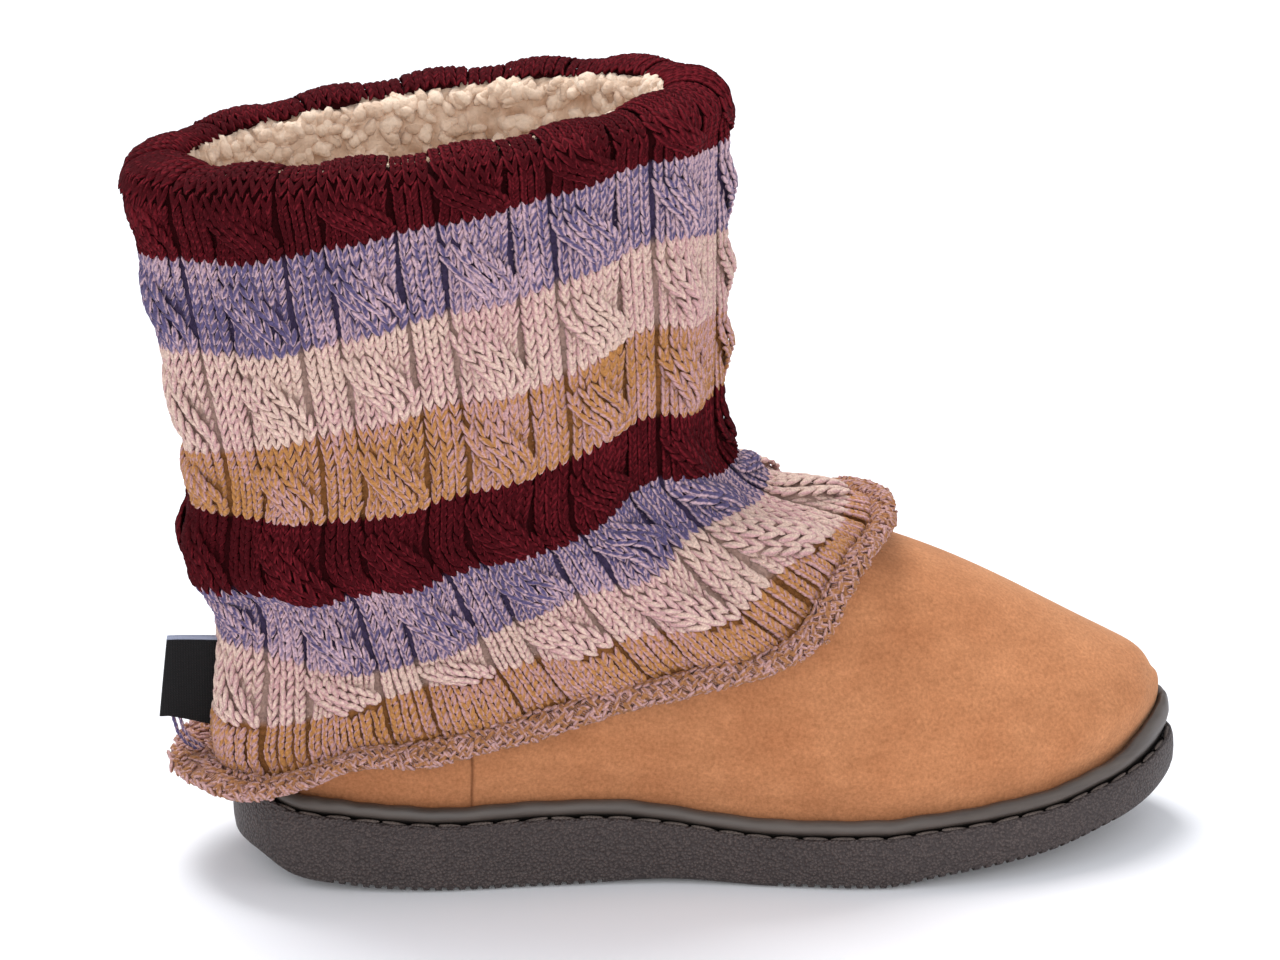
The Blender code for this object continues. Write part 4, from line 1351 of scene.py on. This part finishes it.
def straightPath(u, row):
    height = knit["wallHeight"] + cableDome(u)
    place = np.full_like(row, u)
    hidden = np.zeros(len(row), bool)
    for crossing in knit["crossings"]:
        close = nearCrossing(row, crossing)
        under = np.abs(row - crossing) < knit["crossRows"]
        covered = np.abs(u - crossingPlace(row, crossing)) < stitchLook["hide"] * knit["wale"]
        hidden |= under & covered
        height = height - stitchLook["underSink"] * close
        place = place - u * knit["squeeze"] * close
    return place, height, hidden


def crossingPath(wale, row, crossing):
    near = np.clip(1 - ((row - crossing) / (knit["crossRows"] * 1.15)) ** 2, 0, 1)
    u = crossingPlace(row, crossing) + wale * knit["wale"] * (1 + 0.40 * near)
    height = knit["wallHeight"] + cableDome(u) + (knit["cross"] - stitchLook["sideSink"] * wale**2) * near
    return u, height, np.abs(row - crossing) > knit["crossRows"] * 1.05


def ribPath(u, row):
    return np.full_like(row, u), np.full_like(row, knit["wallHeight"] - 0.1), np.zeros(len(row), bool)


def walesOf(first, last):
    # the start of each wale's band (mm), its place there, and its path
    middle = knit["repeatWidth"] / 2
    wales = [(0.0, u, lambda row, u=u: ribPath(u, row)) for u in knit["ribs"]]
    for u in np.array((-2.5, -1.5, -0.5, 0.5, 1.5, 2.5)) * knit["wale"]:
        wales.append((middle, u, lambda row, u=u: straightPath(u, row)))
    for crossing in knit["crossings"]:
        if first < crossing < last:
            for wale in (-1, 0, 1):
                wales.append((middle, 0.0, lambda row, wale=wale, at=crossing: crossingPath(wale, row, at)))
    return wales


def stitchLegs(rows, band, place, path, leg, rng):
    # one leg of every stitch of one wale, as a batch of strands
    count = len(rows)
    row = rows + rng.normal(0, stitchLook["rowWander"], count)

    def spot(at):
        u, height, hidden = path(at)
        height = height - stitchLook["hemSink"] * np.exp(-((at / 1.4) ** 2))
        onRoll = smoothStep((at - rowEnds[-2] - 2) / 4)
        height = height + onRoll * (0.9 - 0.45 * (height - knit["wallHeight"]))
        point, normal = onSleeve(at, (band + u) / totalWidth, height)
        return point, normal, hidden

    point, normal, hidden = spot(row)
    step = (spot(row + 0.4)[0] - spot(row - 0.4)[0]) / 0.8  # metres to a row
    pitch = np.linalg.norm(step, axis=1)
    way = step / pitch[:, None]
    across = unit(np.cross(way, normal))
    here, beside = (onSleeve(row, (band + place + x) / totalWidth, np.zeros(count))[0] for x in (0.0, 1.0))
    stretch = np.linalg.norm(beside - here, axis=1) * 1000
    lean = np.radians(knit["lean"] + rng.normal(0, 4, count)) * leg
    tip = np.radians(stitchLook["tip"] + rng.normal(0, 3, count))
    along = way * np.cos(lean)[:, None] + across * np.sin(lean)[:, None]
    along = along * np.cos(tip)[:, None] - normal * np.sin(tip)[:, None]
    width = knit["strandWidth"] * stretch * rng.uniform(0.92, 1.08, count)
    width = np.clip(width, 1.0, 2.6) * (1.0 if place else 1.2)
    length = np.clip(pitch * 1000 / knit["rowPitch"], 0.6, 1.7) * knit["strandLength"]
    length = length * rng.uniform(0.92, 1.08, count)
    aside = leg * stitchLook["spread"] * stretch * (1.0 if place else 1.3) + rng.normal(0, 0.00012, count)
    centre = point + across * aside[:, None]
    size = np.stack([width, np.full_like(width, stitchLook["depth"]), length], axis=-1) / 1000
    tone = 0.5 + 0.30 * softNoise(centre, stitchLook["blotch"], 3) + rng.normal(0, 0.08, count)
    return [part[~hidden] for part in (centre, along, normal, size, np.clip(tone, 0, 1))]


def purlBars(rows, band, rng):
    # the bars across a gutter beside the ribs
    count = len(rows)
    row = rows + rng.normal(0, 0.06, count)
    height = np.full(count, knit["wallHeight"] - knit["gutterDepth"])
    point, normal = onSleeve(row, band / totalWidth, height)
    beside, _ = onSleeve(row, (band + 1.0) / totalWidth, height)
    size = np.tile(stitchLook["purl"], (count, 1)) * rng.uniform(0.9, 1.1, (count, 1))
    return point, beside - point, normal, size, np.clip(rng.normal(0.5, 0.2, count), 0, 1)


def stripeStrands(first, last, rng):
    # all strands of the rows from first to last
    rows = np.arange(first, last) + 0.5
    bands = np.arange(knit["repeats"]) * knit["repeatWidth"]
    batches = [stitchLegs(rows, band + base, place, path, leg, rng)
               for base, place, path in walesOf(first, last) for band in bands for leg in (-1, 1)]
    batches += [purlBars(rows, band + u, rng) for band in bands for u in (-knit["gutter"], knit["gutter"])]
    return batches


def makeStripes():
    rng = np.random.default_rng(seed + 1)
    for index, (colour, rows, name) in enumerate(knit["stripes"]):
        batches = stripeStrands(rowEnds[index], rowEnds[index + 1], rng)
        finishPiece(layStrands("knit_" + name, batches, yarnFinish[colour]), "knit")


makeStripes()


backing = {
    "rows": 68,
    "innerRows": 26,
    "aroundRepeat": 18,
    "height": 2.2,
    "cableHeight": 2.0,
    "cableHalf": 11.5,
    "gutterFloor": 0.6,
    "innerHeight": 0.25,
    # painted shade: the inside keeps this share of each yarn's ground colour
    "shade": (0.62, 0.55, 0.55, 1.0),  # of the yarn's own ground colour
}


def makeBacking():
    # the inside of the sleeve, seen between the wales, in its yarns' colours darkened as painted shade
    top = totalRows - 0.01
    around = np.linspace(0, 1, knit["repeats"] * backing["aroundRepeat"], endpoint=False)
    r, a = np.meshgrid(np.linspace(0, top, backing["rows"]), around, indexing="ij")
    u = np.mod(a * knit["repeats"], 1.0) * knit["repeatWidth"]
    middle = knit["repeatWidth"] / 2
    inCable = np.clip(1 - ((u - middle) / backing["cableHalf"]) ** 2, 0, 1)
    beside = np.abs(np.abs(np.mod(u + middle, knit["repeatWidth"]) - middle) - knit["gutter"])
    ridge = 0
    for crossing in knit["crossings"]:
        side = (u - middle - crossingPlace(r, crossing)) / (2.1 * knit["wale"])
        ridge = ridge + knit["cross"] * nearCrossing(r, crossing) * np.clip(1 - side**2, 0, 1)
    sunk = (knit["gutterDepth"] - backing["gutterFloor"]) * np.exp(-((beside / 1.5) ** 2))
    outer, _ = onSleeve(r, a, backing["height"] + backing["cableHeight"] * inCable + ridge - sunk)
    r2, a2 = np.meshgrid(np.linspace(top, 0, backing["innerRows"]), around, indexing="ij")
    inner, _ = onSleeve(r2, a2, np.full_like(r2, backing["innerHeight"]))
    stack = np.concatenate([outer, inner])
    rowOf = np.concatenate([r, r2])
    colours = np.zeros(stack.shape[:2] + (4,), np.float32)
    for index, (colour, _, _) in enumerate(knit["stripes"]):
        inside = (rowOf >= rowEnds[index]) & (rowOf <= rowEnds[index + 1])
        # painted shade: each stripe's ground colour, darkened
        colours[inside] = np.array(yarns[colour][0]) * np.array(backing["shade"])
    faces = gridFaces(len(stack), len(around), True)
    made = addPiece("knit_backing", stack, faces, backingMaterial("knitInside"))
    painted = made.data.attributes.new("shadedYarnColour", "FLOAT_COLOR", "POINT")
    painted.data.foreach_set("color", colours.ravel())
    finishPiece(made, "knit", "knit_shaft")


makeBacking()


# Edging of the hem

edging = {
    "width": 0.0078,
    "curl": 0.0070,  # how much wider it is at the heel
    "thickness": 0.0048,
    # way forward, degrees off the wall
    "flare": ((0.0, 96.0), (0.1, 66.0), (0.3, 30.0), (0.6, 26.0), (0.85, 36.0), (1.0, 50.0)),
    # way forward, mm off the sleeve
    "standOff": ((0.0, 0.4), (0.4, 0.6), (0.7, 1.6), (0.9, 1.6), (1.0, 1.0)),
    "seat": 0.0021,
    "pitch": 0.0027,
    "rows": (0, 30, 58, 84, 110, 140, 180, 225, 262, 295, 330),  # degrees round it
    "slant": 46.0,
    "coreInset": 0.0022,
    "coreHalf": 0.0016,
}


def edgingPath(theta):
    # middle of the edging, its two cross directions and its width, ruffled along the way
    low = hemLevel(theta)
    lines = []
    for share in (0.0, 0.02):
        stand = knit["fit"] + slack(theta, np.full_like(theta, share)) + edging["seat"]
        lines.append(bodyOffset(theta, low + share * (collarLevel - low), stand))
    edge = lines[0]
    down = unit(edge - lines[1])
    out = bodyNormal(theta, low)
    out = unit(out - down * np.sum(out * down, axis=-1, keepdims=True))
    flare = np.radians(curve(edging["flare"], 1, wayForward(theta)))
    flare = flare + np.radians(9) * softNoise(edge, 0.016, 12)
    along = down * np.cos(flare)[:, None] + out * np.sin(flare)[:, None]
    across = out * np.cos(flare)[:, None] - down * np.sin(flare)[:, None]
    width = edging["width"] + edging["curl"] * np.maximum(np.cos(theta), 0) ** 6
    away = curve(edging["standOff"], 1, wayForward(theta)) / 1000
    middle = edge + along * (width / 2 - 0.0002)[:, None] + out * away[:, None]
    middle = middle + across * (0.0006 * softNoise(edge, 0.011, 13))[:, None]
    return middle, along, across, width


def makeEdgingCore(theta, reach):
    middle, along, across, width = edgingPath(np.interp(np.linspace(0, reach[-1], 301)[:-1], reach, theta))
    rings = []
    for turn in np.arange(8) * math.pi / 4:
        half = math.cos(turn) * (width - edging["coreInset"]) / 2
        rings.append(middle + along * half[:, None] + across * (math.sin(turn) * edging["coreHalf"]))
    stack = np.array(rings)
    tone = np.full(stack.shape[:2], 0.3)
    core = addPiece("edging_core", stack, gridFaces(8, 300, True), yarnFinish["edging"], marks={"tone": tone})
    core.data.uv_layers.new(name="UVMap")
    finishPiece(core, "edging", "hem_edging")


def makeEdgingLoops(theta, reach):
    # loops of yarn, in rows over the core
    rng = np.random.default_rng(seed + 2)
    total = reach[-1]
    count = int(total / edging["pitch"])
    batches = []
    for index, degrees in enumerate(edging["rows"]):
        odd = index % 2
        at = (np.arange(count) + 0.5 * odd + rng.normal(0, 0.10, count)) / count * total
        middle, down, out, width = edgingPath(np.interp(np.mod(at, total), reach, theta))
        run = unit(edgingPath(np.interp(np.mod(at + 0.0006, total), reach, theta))[0] - middle)
        turn = math.radians(degrees) + rng.normal(0, 0.16, count)
        lift = 1.0 + rng.normal(0, 0.09, count)
        downward = np.cos(turn) * width / 2 * 0.86 * lift
        outside = np.sin(turn) * edging["thickness"] / 2 * 0.82 * lift
        centre = middle + down * downward[:, None] + out * outside[:, None]
        facing = down * (np.cos(turn) / width)[:, None] + out * (np.sin(turn) / edging["thickness"])[:, None]
        facing = unit(facing)
        tilt = (1 if odd else -1) * np.radians(edging["slant"] + rng.normal(0, 10, count))
        along = run * np.cos(tilt)[:, None] + np.cross(facing, run) * np.sin(tilt)[:, None]
        size = [rng.uniform(low, high, count) / 1000 for low, high in ((1.4, 1.9), (1.5, 1.9), (3.6, 5.0))]
        tone = np.clip(0.5 + rng.normal(0, 0.16, count), 0, 1)
        batches.append((centre, along, facing, np.stack(size, axis=-1), tone))
    finishPiece(layStrands("edging_loops", batches, yarnFinish["edging"]), "edging")


hemTurns = np.linspace(0, 2 * np.pi, 3001)
hemReach = lengthAlong(edgingPath(hemTurns)[0])
makeEdgingCore(hemTurns, hemReach)
makeEdgingLoops(hemTurns, hemReach)


# Heel tag, left bare, and the yarn ends under it

tag = {
    "width": 0.0120,
    "height": 0.0270,
    "thickness": 0.0014,
    "bottom": 0.0400,
    "tape": 0.00055,
    "tuck": 0.0012,  # how far it goes in under the knit
    "lean": 0.0026,
    "rise": 0.0034,
    "sway": 0.0007,
    "weave": 420.0,
    "edgeFrom": 0.965,  # share of the height above which its light edge shows
    "black": srgb(7, 6, 7),
    "worn": srgb(26, 24, 25),
    "edge": srgb(150, 156, 176),
}
yarnTail = {
    # x, way off the tag's middle, height
    "points": (
        (-0.0170, 0.0000, 0.0425),
        (-0.0160, -0.0010, 0.0392),
        (-0.0140, -0.0014, 0.0362),
        (-0.0112, -0.0008, 0.0340),
    ),
    "shifts": (0.0, 0.0016),
    "strand": (0.0013, 0.0013, 0.0034),
    "strands": 7,
}


def tapeMaterial():
    made, tree, shader = startMaterial("blackTape", 0.6, 0.2)
    place = objectPlace(tree)
    threads = []
    for direction in ("Z", "X"):
        wave = node(tree, "ShaderNodeTexWave", wave_type="BANDS", bands_direction=direction)
        socketSet(wave, Scale=tag["weave"], Distortion=0.6, Detail=1.0)
        link(tree, place, wave.inputs["Vector"])
        threads.append(wave.outputs["Fac"])
    cloth = mathNode(tree, "MULTIPLY", *threads)
    colour = rampNode(tree, cloth, 0.0, 1.0, (tag["black"], tag["worn"]))
    colour = mixNode(tree, attribute(tree, "edge"), colour, tag["edge"])
    paint(tree, shader, colour, bumpNode(tree, cloth, 0.0001))
    return made


def tagPath(low, high):
    # along the strip, from the sleeve out to the fold and back: place in x and y, and the way it faces
    fold = tag["thickness"] / 2 - tag["tape"] / 2
    bend, end = low[0] + tag["thickness"] / 2, high[0] + tag["tuck"]
    path = [(x, -fold, 0, -1) for x in np.linspace(end, bend, 8)]
    for turn in np.linspace(0, math.pi, 9)[1:-1]:
        path.append((bend - fold * math.sin(turn), -fold * math.cos(turn), -math.sin(turn), -math.cos(turn)))
    path += [(x, fold, 0, 1) for x in np.linspace(bend, end, 8)]
    return np.array(path)


def makeTag():
    low, high = (np.array(corner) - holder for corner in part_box("heel_tag"))
    path = tagPath(low, high)
    away = np.clip((high[0] - path[:, 0]) / tag["width"], 0, 1)
    rings, marks = [], []
    for row in np.append(np.linspace(0, 0.96, 23), (0.968, 1.0)):
        x = path[:, 0] - tag["lean"] * (1 - row) * away
        sway = tag["sway"] * math.sin(row * 2.2) * away - 0.0006 * away**2
        y = (low[1] + high[1]) / 2 + path[:, 1] + sway
        z = tag["bottom"] + row * tag["height"] + (tag["rise"] * (1 - row) + 0.0006) * away
        outer = np.column_stack([x, y + path[:, 3] * tag["tape"] / 2, z])
        inner = np.column_stack([x - path[:, 2] * tag["tape"], y - path[:, 3] * tag["tape"] / 2, z])
        rings.append(np.concatenate([outer, inner[::-1]]))
        marks.append(np.full(len(path) * 2, float(row > tag["edgeFrom"])))
    n, around, last = len(path), len(path) * 2, (len(rings) - 1) * len(path) * 2
    faces = gridFaces(len(rings), around)
    for start, flip in ((0, True), (last, False)):
        for i in range(n - 1):
            face = [start + i, start + i + 1, start + 2 * n - 2 - i, start + 2 * n - 1 - i]
            faces.append(face if flip else face[::-1])
    made = addPiece("heel_tag_tape", np.array(rings), faces, tapeMaterial(), marks={"edge": np.array(marks)})
    made.data.set_sharp_from_angle(angle=math.radians(50))
    finishPiece(made, "tape", "heel_tag")


def makeYarnTail():
    # two ends of purple yarn left hanging under the tag
    low, high = (np.array(corner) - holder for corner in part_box("heel_tag"))
    count = yarnTail["strands"]
    share = np.linspace(0, 1, count)
    batches = []
    for shift in yarnTail["shifts"]:
        path = np.array(yarnTail["points"]) + (shift, (low[1] + high[1]) / 2, shift / 2)
        centre = np.column_stack([np.interp(share, np.linspace(0, 1, len(path)), line) for line in path.T])
        outward, size = (np.tile(row, (count, 1)) for row in ((0.0, -1.0, 0.1), yarnTail["strand"]))
        tone = np.full(count, 0.25 + shift * 200)
        batches.append((centre, np.gradient(centre, axis=0), outward, size, tone))
    finishPiece(layStrands("yarn_tail", batches, yarnFinish["purple"]), "knit")


makeTag()
makeYarnTail()
